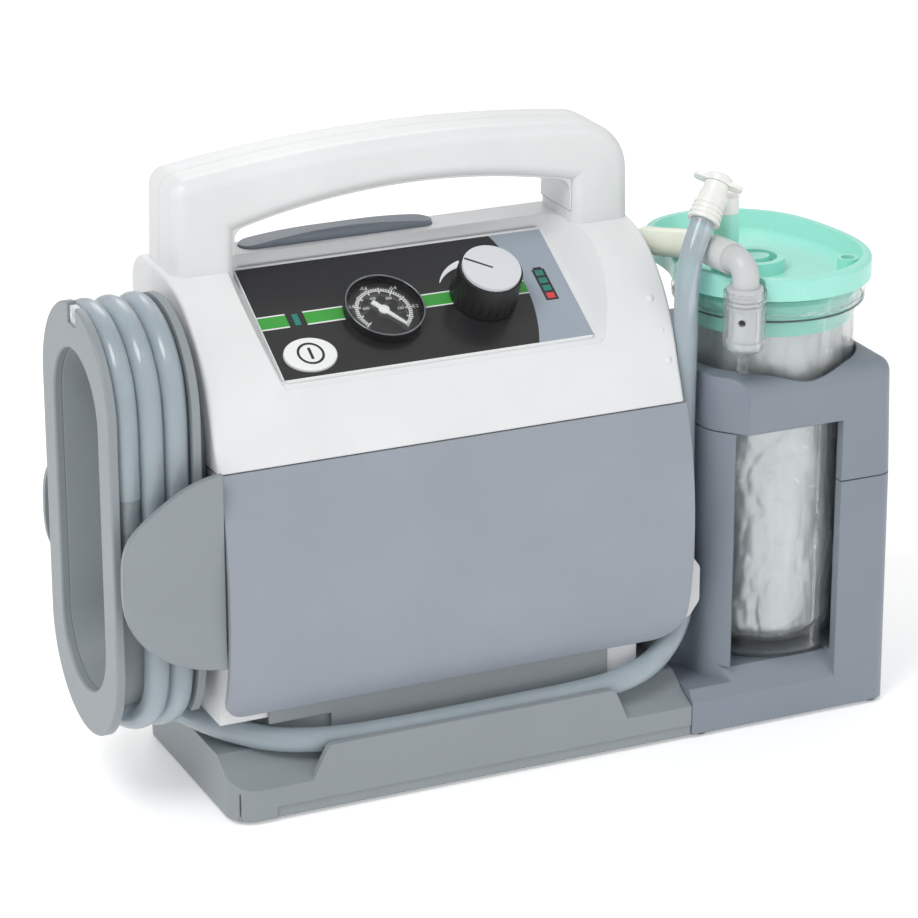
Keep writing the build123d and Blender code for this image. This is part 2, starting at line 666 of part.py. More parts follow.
with BuildPart() as gauge_needle:
    with BuildSketch(on_panel(1.7, GAUGE_AT)):
        with BuildLine():
            outline = [Vector(x, y) for x, y in ((-7, 1.4), (13.4, 0.7), (13.4, -0.7), (-7, -1.4))]
            Polyline(*[corner.rotate(Axis.Z, NEEDLE_REST) for corner in outline], close=True)
        make_face()
        Circle(2.7)
    extrude(amount=0.6)
    with BuildSketch(on_panel(-4, GAUGE_AT)):
        Circle(1.0)
    extrude(amount=5.8)
write(gauge_needle, "gauge_needle")

with BuildPart() as gauge_lens:
    with BuildSketch(on_panel(3.6, GAUGE_AT)):
        Circle(LENS_R)
    extrude(amount=1.2)
write(gauge_lens, "gauge_lens")

KNOB_RIBS = 24
with BuildPart() as knob:
    with BuildSketch(on_panel(0.6, KNOB_AT)):
        Circle(KNOB_R)
    extrude(amount=KNOB_TOP - 0.6, taper=3)
    with BuildSketch(on_panel(3, KNOB_AT)):
        with PolarLocations(KNOB_R + 0.3, KNOB_RIBS):
            Circle(0.9)
    extrude(amount=KNOB_TOP, mode=Mode.SUBTRACT)
    with BuildSketch(on_panel(0.6, KNOB_AT)):
        Circle(KNOB_R - 3)
        Circle(5.5, mode=Mode.SUBTRACT)
    extrude(amount=12, mode=Mode.SUBTRACT)
    with BuildSketch(on_panel(0, KNOB_AT)):
        Circle(3)
    extrude(amount=13, mode=Mode.SUBTRACT)
write(knob, "knob")

with BuildPart() as knob_cap:
    with BuildSketch(on_panel(KNOB_TOP, KNOB_AT)):
        Circle(14.4)
    extrude(amount=1.8)
write(knob_cap, "knob_cap")

with BuildPart() as knob_shaft:
    with BuildSketch(on_panel(-17, KNOB_AT)):
        Circle(2.98)
    extrude(amount=29.8)
write(knob_shaft, "knob_shaft")

with BuildPart() as regulator_valve:
    with BuildSketch(on_panel(-22, KNOB_AT)):
        Circle(8.8)
    extrude(amount=22 - PANEL_T)
    with BuildSketch(on_panel(-18, KNOB_AT)):
        Circle(3.03)
    extrude(amount=20, mode=Mode.SUBTRACT)
    with BuildSketch(on_panel(-26, KNOB_AT)):
        Circle(2.5)
    extrude(amount=4)
write(regulator_valve, "regulator_valve")

# --- hose reel ------------------------------------------------------------------------------------
def oval(high, wide):
    """A tall slot outline at the reel's centre, on a plane square to X."""
    with Locations((0, REEL_Z)):
        SlotOverall(high, wide, rotation=90)


CORE_HIGH, CORE_WIDE = 2 * COIL_HALF_HEIGHT - HOSE_D, 2 * COIL_HALF_WIDTH - HOSE_D
RECESS_HIGH, RECESS_WIDE = 170.0, 62.0
with BuildPart() as reel_core:
    with BuildSketch(across(FLANGE_X[0])):
        oval(CORE_HIGH - 0.6, CORE_WIDE - 0.6)
    extrude(amount=COIL_X[0] - FLANGE_X[0])
    with BuildSketch(across(REEL_FACE)):
        oval(RECESS_HIGH, RECESS_WIDE)
    with BuildSketch(across(-171)):
        oval(RECESS_HIGH - 12, RECESS_WIDE - 8)
    loft(mode=Mode.SUBTRACT)
write(reel_core, "reel_core")

NOTCH_WIDE = 11.0
with BuildPart() as reel_disc:
    with BuildSketch(across(COIL_X[0])):
        oval(REEL_HIGH, REEL_WIDE)
        with Locations((0, REEL_Z)):
            SlotOverall(RECESS_HIGH - 0.4, RECESS_WIDE - 0.4, rotation=90, mode=Mode.SUBTRACT)
        with Locations((0, REEL_Z + REEL_HIGH / 2)):
            Rectangle(NOTCH_WIDE, 20, mode=Mode.SUBTRACT)
    extrude(amount=-REEL_RIM - 0.3)
    fillet(edges().group_by(Axis.X)[0].filter_by(lambda e: e.length > 100), 1.2)
write(reel_disc, "reel_disc")

with BuildPart() as reel_clip:
    with BuildSketch(across(COIL_X[0] - 0.2)):
        with Locations((0, REEL_Z + REEL_HIGH / 2 - 5.7)):
            RectangleRounded(NOTCH_WIDE - 1, 8.4, 1.5)
    extrude(amount=-3)
    with BuildSketch(across(COIL_X[0] - 0.2)):
        with Locations((0, REEL_Z + REEL_HIGH / 2 - 5)):
            Rectangle(3, 3)
    extrude(amount=-REEL_RIM)
write(reel_clip, "reel_clip")

with BuildPart() as reel_flange:
    with BuildSketch(across(FLANGE_X[0])):
        oval(REEL_HIGH - 3, REEL_WIDE - 1)
        with Locations((-6, 42)):
            Rectangle(54, 22, mode=Mode.SUBTRACT)
    extrude(amount=FLANGE_X[1] - FLANGE_X[0])
    with BuildSketch(across(FLANGE_X[1])):
        oval(150, 70)
    extrude(amount=BODY_LEFT - GAP - FLANGE_X[1])
write(reel_flange, "reel_flange")

REEL_SCREW_Z = (REEL_Z - 45, REEL_Z + 45)
with BuildPart() as reel_screws:
    with BuildSketch(across(-171)):
        with Locations(*[(0, z) for z in REEL_SCREW_Z]):
            Circle(4)
    extrude(amount=-2)
    with BuildSketch(across(-173.1)):
        with Locations(*[(0, z) for z in REEL_SCREW_Z]):
            RegularPolygon(1.8, 6)
    extrude(amount=1.2, mode=Mode.SUBTRACT)
write(reel_screws, "reel_screws")

# Hose guards: ear-shaped shields that stand before and behind the coil and keep its turns on.
EAR_T = 3.0
EAR_LINE = [
    (-167, 176.4), (-186.5, 165.4), (-201, 151), (-203.6, 134), (-202, 115), (-193, 99), (-170, 85),
]


def hose_guard(face, inward):
    """A guard with its outer face at Y = face, its thickness and its web running inward."""
    with BuildPart() as guard:
        with BuildSketch(front_view(face)):
            with BuildLine():
                edge = Spline((BODY_LEFT - SEAM_GAP, 179), *EAR_LINE, (BODY_LEFT - SEAM_GAP, 82))
                Line(edge @ 1, edge @ 0)
            make_face()
        extrude(amount=-inward * EAR_T)
        with BuildSketch(front_view(face + inward * EAR_T)):
            with BuildLine():
                Polyline(
                    (BODY_LEFT - GAP, 172), (FLANGE_X[1] + GAP, 170), (FLANGE_X[1] + GAP, 90),
                    (BODY_LEFT - GAP, 88), close=True,
                )
            make_face()
        extrude(amount=-inward * 16)
    return guard


hose_guard_front = hose_guard(-58.5, 1)
write(hose_guard_front, "hose_guard_front")
hose_guard_rear = hose_guard(55.5, -1)
write(hose_guard_rear, "hose_guard_rear")

# --- suction hose -----------------------------------------------------------------------------------
MOUTH = Vector(107.5, -33, 262.5)          # where the hose leaves the lid's port
MOUTH_DIR = Vector(0.55, 0.333, 0.766)
HOSE_ROUTE = [
    (107.5, -33, 262.5), (97.9, -38.8, 249.1), (93.4, -41.6, 232.5), (95.9, -37.6, 200), (96.3, -35.6, 160),
    (96.3, -37, 112), (96.6, -40.5, 66), (87.2, -45, 47.3), (69.5, -50.6, 36.2), (42, -52.1, 32.4),
    (-4, -52, 31.9), (-54, -52.2, 31.6), (-96, -51.6, 32.2), (-125, -46.5, 34.6), (-145, -32, 38.2),
    (-157, -14, 41), (-165, 6, 42.5),
]


def arc_radii(points):
    """The radius at each corner of a hose's route: 0.45 of the shorter run on either side."""
    runs = [Vector(*b) - Vector(*a) for a, b in zip(points, points[1:])]
    return [
        0.45 * min(before.length, after.length) / tan(radians(before.get_angle(after)) / 2)
        for before, after in zip(runs, runs[1:])
    ]


def hose_tube(points, diameter, bore=0):
    """A hose along points, with the largest arc that fits at each corner."""
    radii = arc_radii(points)
    with BuildPart() as tube:
        with BuildLine() as path:
            FilletPolyline(*points, radius=radii)
        with BuildSketch(Plane(origin=path.line @ 0, z_dir=path.line % 0)):
            Circle(diameter / 2)
            if bore:
                Circle(bore / 2, mode=Mode.SUBTRACT)
        sweep()
    length = sum(edge.length for edge in path.edges())
    section = pi * (diameter**2 - bore**2) / 4
    print("hose length", round(length), "radii", [round(r) for r in radii])
    print("volume over section times length", round(tube.part.volume / (section * length), 4))
    return tube


suction_hose_run = hose_tube(HOSE_ROUTE, HOSE_D)
write(suction_hose_run, "suction_hose_run")

# The coil on the reel; its outermost turn stops at the front, where the hose's end fitting hangs.
END_Z = 168.0
with BuildPart() as suction_hose_coil:
    with BuildSketch(across(COIL_X[1] - 0.15)):
        oval(2 * COIL_HALF_HEIGHT + HOSE_D, 2 * COIL_HALF_WIDTH + HOSE_D)
        with Locations((0, REEL_Z)):
            SlotOverall(CORE_HIGH, CORE_WIDE, rotation=90, mode=Mode.SUBTRACT)
    extrude(amount=COIL_X[0] - COIL_X[1] + 0.4)
    with BuildSketch(across(COIL_X[0] - 0.1)):
        with Locations((-30, END_Z - 60)):
            Rectangle(44, 120)
    extrude(amount=HOSE_D + 0.3, mode=Mode.SUBTRACT)
write(suction_hose_coil, "suction_hose_coil")

END_X, END_Y = COIL_X[0] + HOSE_D / 2 + 0.2, -COIL_HALF_WIDTH
CATHETER_BORE, END_LONG = 3.6, 26.0
with BuildPart() as hose_end_connector:
    with BuildSketch(Plane(origin=(END_X, END_Y, END_Z), z_dir=(0, 0, -1))):
        Circle(5.6)
    extrude(amount=16)
    with BuildSketch(Plane(origin=(END_X, END_Y, END_Z - 16), z_dir=(0, 0, -1))):
        Circle(4.9)
    extrude(amount=END_LONG - 16)
    with BuildSketch(Plane(origin=(END_X, END_Y, END_Z), z_dir=(0, 0, -1))):
        Circle(CATHETER_BORE)
    extrude(amount=END_LONG, mode=Mode.SUBTRACT)
write(hose_end_connector, "hose_end_connector")

with BuildPart() as hose_tab:
    with BuildSketch(front_view(-49.5)):
        with BuildLine():
            Polyline((88.7, 110), (90, 110), (92, 98), (99, 88), (99, 70), (94, 63), (88.7, 61), close=True)
        make_face()
        fillet(vertices().group_by(Axis.X)[-1], 4)
    extrude(amount=2.6)
write(hose_tab, "hose_tab")

# --- drive and power, inside the case ---------------------------------------------------------------
MOTOR_Y, MOTOR_Z = 12.0, 80.0
with BuildPart() as battery_pack:
    with BuildSketch(level(CHASSIS_FLOOR + WALL + 0.2)):
        with Locations((-66, 4)):
            RectangleRounded(68, 74, 5)
    extrude(amount=66)
    fillet(edges().group_by(Axis.Z)[-1], 2)
write(battery_pack, "battery_pack")

with BuildPart() as pump_motor:
    with BuildSketch(across(-28)):
        with Locations((MOTOR_Y, MOTOR_Z)):
            Circle(23)
    extrude(amount=62)
    with BuildSketch(across(-30)):
        with Locations((MOTOR_Y, MOTOR_Z)):
            Circle(8)
    extrude(amount=2)
    with BuildSketch(across(-18)):
        with Locations((MOTOR_Y, MOTOR_Z)):
            Circle(2.55)
    extrude(amount=60, mode=Mode.SUBTRACT)
    with BuildSketch(level(CHASSIS_FLOOR + WALL + 0.2)):
        with Locations((3, MOTOR_Y)):
            Rectangle(44, 30)
    extrude(amount=MOTOR_Z - 22 - CHASSIS_FLOOR - WALL)
write(pump_motor, "pump_motor")

with BuildPart() as motor_shaft:
    with BuildSketch(across(-17)):
        with Locations((MOTOR_Y, MOTOR_Z)):
            Circle(2.5)
    extrude(amount=82)
    with BuildSketch(across(46)):
        with Locations((MOTOR_Y, MOTOR_Z + 2)):
            Circle(7)
    extrude(amount=9)
write(motor_shaft, "motor_shaft")

with BuildPart() as pump_head:
    with BuildSketch(across(34.2)):
        with Locations((MOTOR_Y, 84)):
            RectangleRounded(46, 72, 6)
    extrude(amount=38)
    with BuildSketch(across(38)):
        with Locations((MOTOR_Y, MOTOR_Z)):
            Circle(13)
    extrude(amount=30, mode=Mode.SUBTRACT)
    with BuildSketch(across(34)):
        with Locations((MOTOR_Y, MOTOR_Z)):
            Circle(4)
    extrude(amount=6, mode=Mode.SUBTRACT)
    with BuildSketch(level(120)):
        with Locations((60, MOTOR_Y)):
            Circle(4.5)
    extrude(amount=8)
write(pump_head, "pump_head")

INNER_TUBE_ROUTE = [(60, MOTOR_Y, 128.2), (60, MOTOR_Y + 0.6, 160), (76, 16, 200), (77, PORT_Y, 226.6)]
inner_vacuum_tube = hose_tube(INNER_TUBE_ROUTE, 8.0, 5.0)
write(inner_vacuum_tube, "inner_vacuum_tube")

NOZZLE_X, NOZZLE_R, NOZZLE_TIP = 97.4, 4.9, -1.0
with BuildPart() as vacuum_port:
    with BuildSketch(across(72)):
        with Locations((PORT_Y, PORT_Z - 3)):
            RectangleRounded(12, 17, 2)
    extrude(amount=BODY_RIGHT - WALL - 72.1)
    with BuildSketch(across(BODY_RIGHT - WALL - 0.1)):
        with Locations((PORT_Y, PORT_Z)):
            Circle(PORT_R)
    extrude(amount=NOZZLE_X - BODY_RIGHT + WALL + 0.1)
    with Locations((NOZZLE_X, PORT_Y, PORT_Z)):
        Sphere(PORT_R)
    with BuildSketch(front_view(PORT_Y)):
        with Locations((NOZZLE_X, PORT_Z)):
            Circle(PORT_R)
    extrude(amount=PORT_Y - NOZZLE_TIP)
    with BuildSketch(front_view(PORT_Y)):
        with Locations((NOZZLE_X, PORT_Z)):
            Circle(2.8)
    extrude(amount=PORT_Y - NOZZLE_TIP, mode=Mode.SUBTRACT)
write(vacuum_port, "vacuum_port")

with BuildPart() as exhaust_filter:
    with BuildSketch(level(CHASSIS_FLOOR + WALL + 0.3)):
        with Locations((56, 46.5)):
            Circle(9)
    extrude(amount=52)
    fillet(edges().group_by(Axis.Z)[-1], 2)
write(exhaust_filter, "exhaust_filter")

# --- canister holder --------------------------------------------------------------------------------
WINDOW_LEFT, WINDOW_RIGHT, WINDOW_SILL = 119.0, 172.0, 31.0
HOLDER_BACK = BASE_BACK - 1
SCOOP = [(111.5, -53), (105.4, -44), (103.8, -33), (100, -25.5), (88, -23)]

with BuildPart() as holder_form:
    with BuildSketch(front_view(HOLDER_BACK)):
        with BuildLine():
            Polyline(
                (HOLDER_LEFT, BASE_UNDER), (HOLDER_RIGHT, BASE_UNDER), (203, HOLDER_ARM),
                (201, HOLDER_TOP), (HOLDER_LEFT, HOLDER_TOP), close=True,
            )
        make_face()
        fillet(vertices().group_by(Axis.Y)[-1].sort_by(Axis.X)[-1], 7)
    extrude(amount=HOLDER_BACK - BASE_FRONT)
    right_edges = edges().filter_by(lambda e: e.center().X > 200 and 20 < e.center().Z < 170)
    fillet(right_edges.filter_by(lambda e: abs(e.center().Y) > 50), 9)
    with BuildSketch(level(CAN_FLOOR - 1)):
        with Locations((CAN_X, CAN_Y)):
            Circle(HOLDER_BORE)
    extrude(amount=HOLDER_TOP, mode=Mode.SUBTRACT)
    # S-shaped scoop in the near left corner, where the suction hose comes down.
    with BuildSketch(level(25)):
        with BuildLine():
            scoop = Spline((WINDOW_LEFT, BASE_FRONT - 0.2), *SCOOP)
            Polyline(scoop @ 1, (88, -70), (WINDOW_LEFT, -70), scoop @ 0)
        make_face()
    extrude(amount=HOLDER_TOP, mode=Mode.SUBTRACT)
    # Window over the canister, with a sloping sill.
    with BuildSketch(front_view(-30)):
        with BuildLine():
            Polyline(
                (WINDOW_LEFT - 4, WINDOW_SILL), (WINDOW_RIGHT, WINDOW_SILL), (WINDOW_RIGHT, HOLDER_SEAM),
                (WINDOW_LEFT - 4, HOLDER_SEAM), close=True,
            )
        make_face()
    extrude(amount=40, mode=Mode.SUBTRACT)
    with BuildSketch(across(HOLDER_LEFT - 1)):
        with BuildLine():
            Polyline((BASE_FRONT - 1, BASE_WALL), (-52, 32.5), (BASE_FRONT - 1, 32.5), close=True)
        make_face()
    extrude(amount=WINDOW_RIGHT - HOLDER_LEFT + 1, mode=Mode.SUBTRACT)
    # Hollow behind the canister, open underneath.
    with BuildSketch(level(0)):
        with Locations((145, 47)):
            Rectangle(88, 21)
    extrude(amount=HOLDER_TOP - 4, mode=Mode.SUBTRACT)

with BuildPart() as collar_space:
    with BuildSketch(front_view(HOLDER_BACK + 1)):
        with BuildLine():
            Polyline(
                (HOLDER_LEFT - 1, HOLDER_SEAM), (WINDOW_RIGHT, HOLDER_SEAM), (WINDOW_RIGHT, HOLDER_ARM),
                (HOLDER_RIGHT, HOLDER_ARM), (HOLDER_RIGHT, HOLDER_TOP + 1), (HOLDER_LEFT - 1, HOLDER_TOP + 1),
                close=True,
            )
        make_face()
    extrude(amount=HOLDER_BACK - BASE_FRONT + 3)

with BuildPart() as holder_collar:
    add(holder_form.part)
    add(collar_space.part, mode=Mode.INTERSECT)
write(holder_collar, "holder_collar")

with BuildPart() as holder_base:
    add(holder_form.part)
    add(collar_space.part.moved(Location((-SEAM_GAP, 0, -SEAM_GAP))), mode=Mode.SUBTRACT)
    with BuildSketch(level(0)):
        with Locations((148, -16.5)):
            RectangleRounded(88, 67, 8)
    extrude(amount=14, mode=Mode.SUBTRACT)
write(holder_base, "holder_base")

# --- canister and liner -----------------------------------------------------------------------------
SIDE = Plane(origin=(CAN_X, CAN_Y, 0), x_dir=(1, 0, 0), z_dir=(0, -1, 0))
CAN_AXIS = Axis((CAN_X, CAN_Y, 0), (0, 0, 1))
TO_SOCKET = Vector(SOCKET_X - CAN_X, SOCKET_Y - CAN_Y, 0).normalized()
TOWARD = Plane(origin=(CAN_X, CAN_Y, 0), x_dir=TO_SOCKET, z_dir=TO_SOCKET.cross(Vector(0, 0, 1)))
RIM_R = CAN_R + 4.0
RIM_IN = RIM_R - CAN_WALL
NECK = (54.0, 190.0)             # foot of the socket's neck: out from the canister's axis, and height

with BuildPart() as canister:
    with BuildSketch(level(SOCKET_FLOOR - CAN_WALL)):
        with Locations((SOCKET_X, SOCKET_Y)):
            Circle(SOCKET_R)
    extrude(amount=SOCKET_TOP - SOCKET_FLOOR + CAN_WALL)
    fillet(edges().group_by(Axis.Z)[0], 6)
    with BuildSketch(level(NECK[1])):
        with Locations((SOCKET_X, SOCKET_Y)):
            Circle(3)
    extrude(amount=SOCKET_FLOOR - NECK[1] - 1)
    with BuildSketch(TOWARD):
        with BuildLine():
            Polyline((60, 196), (60, 190.5), (43, 186.3), (43, 203), (52, 196), close=True)
        make_face()
    extrude(amount=1.5, both=True)
    with BuildSketch(SIDE):
        with BuildLine():
            Polyline(
                (0, CAN_FLOOR), (CAN_R - 1.5, CAN_FLOOR), (CAN_R, CAN_FLOOR + 1.5), (CAN_R, FLANGE_Z - 3),
                (RIM_R + 0.6, FLANGE_Z), (RIM_R + 0.6, FLANGE_Z + 3), (RIM_R, FLANGE_Z + 3),
                (RIM_R, CAN_TOP), (RIM_IN, CAN_TOP), (RIM_IN, FLANGE_Z + 1), (0, FLANGE_Z + 1), close=True,
            )
        make_face()
    revolve(axis=CAN_AXIS)
    with BuildSketch(level(CAN_FLOOR + CAN_WALL)):
        with Locations((CAN_X, CAN_Y)):
            Circle(CAN_R - CAN_WALL)
    extrude(amount=CAN_TOP - CAN_FLOOR, mode=Mode.SUBTRACT)
    with BuildSketch(level(FLANGE_Z + 1)):
        with Locations((CAN_X, CAN_Y)):
            Circle(RIM_IN)
    extrude(amount=CAN_TOP, mode=Mode.SUBTRACT)
    with BuildSketch(level(SOCKET_FLOOR)):
        with Locations((SOCKET_X, SOCKET_Y)):
            Circle(SOCKET_BORE)
    extrude(amount=SOCKET_TOP, mode=Mode.SUBTRACT)
write(canister, "canister")

LINER_R = 39.3
with BuildPart() as liner_bag:
    with BuildSketch(SIDE):
        with BuildLine():
            Polyline(
                (0, 38), (LINER_R - 8, 38), (LINER_R - 1, 47), (LINER_R, 120), (LINER_R, 218), (0, 218),
                close=True,
            )
        make_face()
    revolve(axis=CAN_AXIS)
write(liner_bag, "liner_bag")

# Lid outline seen from above: round over the canister, drawn out towards the back.
LID_RIM = [
    (104, -6), (105.5, -36), (116, -50.5), (133, -62.5), (153, -66.8), (178.3, -60.4), (196.8, -41.8),
    (203, -16), (200.5, 8), (192, 34), (177, 50), (158, 58.5), (140, 59), (121, 51), (109, 30),
]
LID_MIDDLE = Vector(150, -5)
NECK_OUT, NECK_IN, NECK_FOOT = 41.2, 39.9, 203.0
PLUG_R, SEAL_Z = 44.7, 219.5


def lid_outline(inset):
    """The lid's outline moved in by a distance, in the plane of the sketch."""
    spokes = [Vector(*point) - LID_MIDDLE for point in LID_RIM]
    Spline(*[LID_MIDDLE + spoke * (1 - inset / spoke.length) for spoke in spokes], periodic=True)


with BuildPart() as lid:
    with BuildSketch(level(LID_SKIRT)):
        with BuildLine():
            lid_outline(0)
        make_face()
    extrude(amount=LID_RIM_TOP - LID_SKIRT)
    fillet(edges().group_by(Axis.Z)[-1], 2.4)
    with BuildSketch(level(LID_FLOOR)):
        with BuildLine():
            lid_outline(7.5)
        make_face()
    with BuildSketch(level(LID_RIM_TOP + 1)):
        with BuildLine():
            lid_outline(4.5)
        make_face()
    loft(mode=Mode.SUBTRACT)
    with BuildSketch(level(LID_SKIRT - 1)):
        with BuildLine():
            lid_outline(2.4)
        make_face()
        with Locations((CAN_X, CAN_Y)):
            Circle(RIM_R + 0.4)
    extrude(amount=CAN_TOP - LID_SKIRT + 1.05, mode=Mode.SUBTRACT)
    with BuildSketch(level(SEAL_Z - 2.5)):
        with Locations((CAN_X, CAN_Y)):
            Circle(PLUG_R)
            Circle(NECK_IN, mode=Mode.SUBTRACT)
    extrude(amount=LID_FLOOR - SEAL_Z + 2.5)
    with BuildSketch(level(NECK_FOOT)):
        with Locations((CAN_X, CAN_Y)):
            Circle(NECK_OUT)
            Circle(NECK_IN, mode=Mode.SUBTRACT)
    extrude(amount=LID_FLOOR - NECK_FOOT)
    with BuildSketch(level(SEAL_Z)):
        with Locations((CAN_X, CAN_Y)):
            Circle(PLUG_R)
            Circle(PLUG_R - 1.3, mode=Mode.SUBTRACT)
    extrude(amount=2.4, mode=Mode.SUBTRACT)
    with BuildSketch(level(LID_FLOOR - 0.5)):
        with Locations((143.5, -19)):
            Circle(14.8)
            Circle(11, mode=Mode.SUBTRACT)
            Ellipse(7.6, 5.4)
        with Locations((184, -40)):
            Circle(5.2)
            Circle(3.4, mode=Mode.SUBTRACT)
    extrude(amount=7)
    with BuildSketch(level(LID_FLOOR - 0.5)):
        with Locations((STEM_X, STEM_Y)):
            Circle(STEM_R + 0.8)
    extrude(amount=STEM_TOP - LID_FLOOR + 0.5, taper=1.4)
    with BuildSketch(level(CAN_TOP)):
        with Locations((STEM_X, STEM_Y)):
            Circle(4.1)
    extrude(amount=STEM_TOP, mode=Mode.SUBTRACT)
    with BuildSketch(level(LID_SKIRT - 1)):
        with Locations((SOCKET_X, SOCKET_Y)):
            Circle(SOCKET_R + 0.6)
    extrude(amount=20, mode=Mode.SUBTRACT)
write(lid, "lid")

with BuildPart() as lid_seal:
    with BuildSketch(level(SEAL_Z + 0.05)):
        with Locations((CAN_X, CAN_Y)):
            Circle(RIM_IN - 0.05)
            Circle(PLUG_R - 1.25, mode=Mode.SUBTRACT)
    extrude(amount=2.3)
write(lid_seal, "lid_seal")

# --- patient port and vacuum line -------------------------------------------------------------------
BARREL_R, BARREL_LONG, HOOD = 7.8, 12.0, 3.0
HUB = MOUTH + MOUTH_DIR * (BARREL_LONG - 2)
STEM_HEAD = Vector(STEM_X, STEM_Y, STEM_TOP + 4.5)
PORT_END = BARREL_LONG + 5.0

with BuildPart() as patient_connector:
    with BuildSketch(Plane(origin=MOUTH - MOUTH_DIR * HOOD, z_dir=MOUTH_DIR)):
        Circle(BARREL_R)
    extrude(amount=BARREL_LONG + HOOD, taper=4)
    for rib in range(4):
        with BuildSketch(Plane(origin=MOUTH + MOUTH_DIR * (2.6 * rib - HOOD), z_dir=MOUTH_DIR)):
            Circle(BARREL_R + 0.5 - 0.2 * rib)
        extrude(amount=1.1)
    with BuildSketch(Plane(origin=MOUTH, z_dir=MOUTH_DIR)):
        Circle(6.2)
    extrude(amount=PORT_END)
    with BuildSketch(Plane(origin=HUB, z_dir=STEM_HEAD - HUB)):
        Circle(4.3)
    extrude(amount=(STEM_HEAD - HUB).length)
    with BuildSketch(level(STEM_TOP + 0.05)):
        with Locations((STEM_X, STEM_Y)):
            Circle(STEM_R)
    extrude(amount=8)
    with BuildSketch(Plane(origin=MOUTH - MOUTH_DIR * HOOD, z_dir=MOUTH_DIR)):
        Circle(HOSE_D / 2 + 0.05)
    extrude(amount=HOOD, mode=Mode.SUBTRACT)
    with BuildSketch(Plane(origin=MOUTH, z_dir=MOUTH_DIR)):
        Circle(HOSE_BORE / 2)
    extrude(amount=PORT_END, mode=Mode.SUBTRACT)
write(patient_connector, "patient_connector")

WING_DIR = Vector(0.909, -0.416, 0) - MOUTH_DIR * Vector(0.909, -0.416, 0).dot(MOUTH_DIR)
with BuildPart() as port_cap:
    with BuildSketch(Plane(origin=MOUTH + MOUTH_DIR * (PORT_END + 0.2), x_dir=WING_DIR, z_dir=MOUTH_DIR)):
        SlotOverall(25, 8.5)
    extrude(amount=1.8)
    with BuildSketch(Plane(origin=MOUTH + MOUTH_DIR * (PORT_END + 0.2), x_dir=WING_DIR, z_dir=MOUTH_DIR)):
        Circle(6.6)
    extrude(amount=4.5)
    fillet(edges().filter_by(GeomType.CIRCLE).sort_by(Axis(tuple(MOUTH), tuple(MOUTH_DIR)))[-1], 1.6)
    with BuildSketch(Plane(origin=MOUTH + MOUTH_DIR * (PORT_END + 0.3), x_dir=WING_DIR, z_dir=MOUTH_DIR)):
        Circle(HOSE_BORE / 2 - 0.05)
    extrude(amount=-4)
write(port_cap, "port_cap")

VALVE_FOOT, VALVE_TOP = SOCKET_FLOOR + 1.0, 229.0
with BuildPart() as check_valve:
    with BuildSketch(level(VALVE_FOOT)):
        with Locations((SOCKET_X, SOCKET_Y)):
            Circle(7.7)
    extrude(amount=VALVE_TOP - VALVE_FOOT)
    for z in (VALVE_FOOT + 2, VALVE_TOP - 6, VALVE_TOP - 3.6, VALVE_TOP - 1.2):
        with BuildSketch(level(z)):
            with Locations((SOCKET_X, SOCKET_Y)):
                Circle(8.7)
        extrude(amount=1.2)
    with BuildSketch(level(VALVE_FOOT + 1)):
        with Locations((SOCKET_X, SOCKET_Y)):
            Circle(5.6)
    extrude(amount=VALVE_TOP, mode=Mode.SUBTRACT)
    with BuildSketch(Plane(origin=(SOCKET_X, SOCKET_Y, 217), z_dir=(-0.62, -0.78, 0))):
        Circle(1.8)
    extrude(amount=12, mode=Mode.SUBTRACT)
write(check_valve, "check_valve")

ARM_DIR = Vector(-0.15, 0.989, 0)
ARM_END = Vector(SOCKET_X, SOCKET_Y, ELBOW_Z) + ARM_DIR * 20
with BuildPart() as vacuum_elbow:
    with BuildLine() as bend:
        FilletPolyline(
            (SOCKET_X, SOCKET_Y, SOCKET_TOP - 1), (SOCKET_X, SOCKET_Y, ELBOW_Z), tuple(ARM_END), radius=7.5
        )
    with BuildSketch(Plane(origin=bend.line @ 0, z_dir=(0, 0, 1))):
        Circle(4.9)
    sweep()
    with BuildLine() as outside:
        FilletPolyline(
            (SOCKET_X, SOCKET_Y, SOCKET_TOP - 1), (SOCKET_X, SOCKET_Y, ELBOW_Z),
            tuple(ARM_END - ARM_DIR * 9), radius=7.5,
        )
    with BuildSketch(Plane(origin=outside.line @ 0, z_dir=(0, 0, 1))):
        Circle(6.6)
    sweep()
    with BuildSketch(level(VALVE_TOP + 0.1)):
        with Locations((SOCKET_X, SOCKET_Y)):
            Circle(8.7)
    extrude(amount=4)
    with BuildSketch(level(VALVE_TOP)):
        with Locations((SOCKET_X, SOCKET_Y)):
            Circle(3.4)
    extrude(amount=10, mode=Mode.SUBTRACT)
write(vacuum_elbow, "vacuum_elbow")

CUFF_R, CUFF_LONG = 8.0, 15.0
HOSE_START = ARM_END - ARM_DIR * 8.9
VACUUM_ROUTE = [
    tuple(HOSE_START), tuple(ARM_END + ARM_DIR * 8), (106, -16, 244), (99.6, -3, 241.6),
    (NOZZLE_X, 9, PORT_Z),
]
vacuum_tube = hose_tube(VACUUM_ROUTE, VAC_HOSE_D, 10.0)
with BuildPart() as vacuum_hose:
    add(vacuum_tube.part)
    with BuildSketch(Plane(origin=HOSE_START, z_dir=ARM_DIR)):
        Circle(CUFF_R)
        Circle(6.1, mode=Mode.SUBTRACT)
    extrude(amount=CUFF_LONG)
write(vacuum_hose, "vacuum_hose")
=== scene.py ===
"""Looks of the portable suction pump: hose, liner bag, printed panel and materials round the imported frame."""

from math import cos, pi, radians, sin, sqrt

import bmesh
import bpy
from mathutils import Matrix, Vector, noise


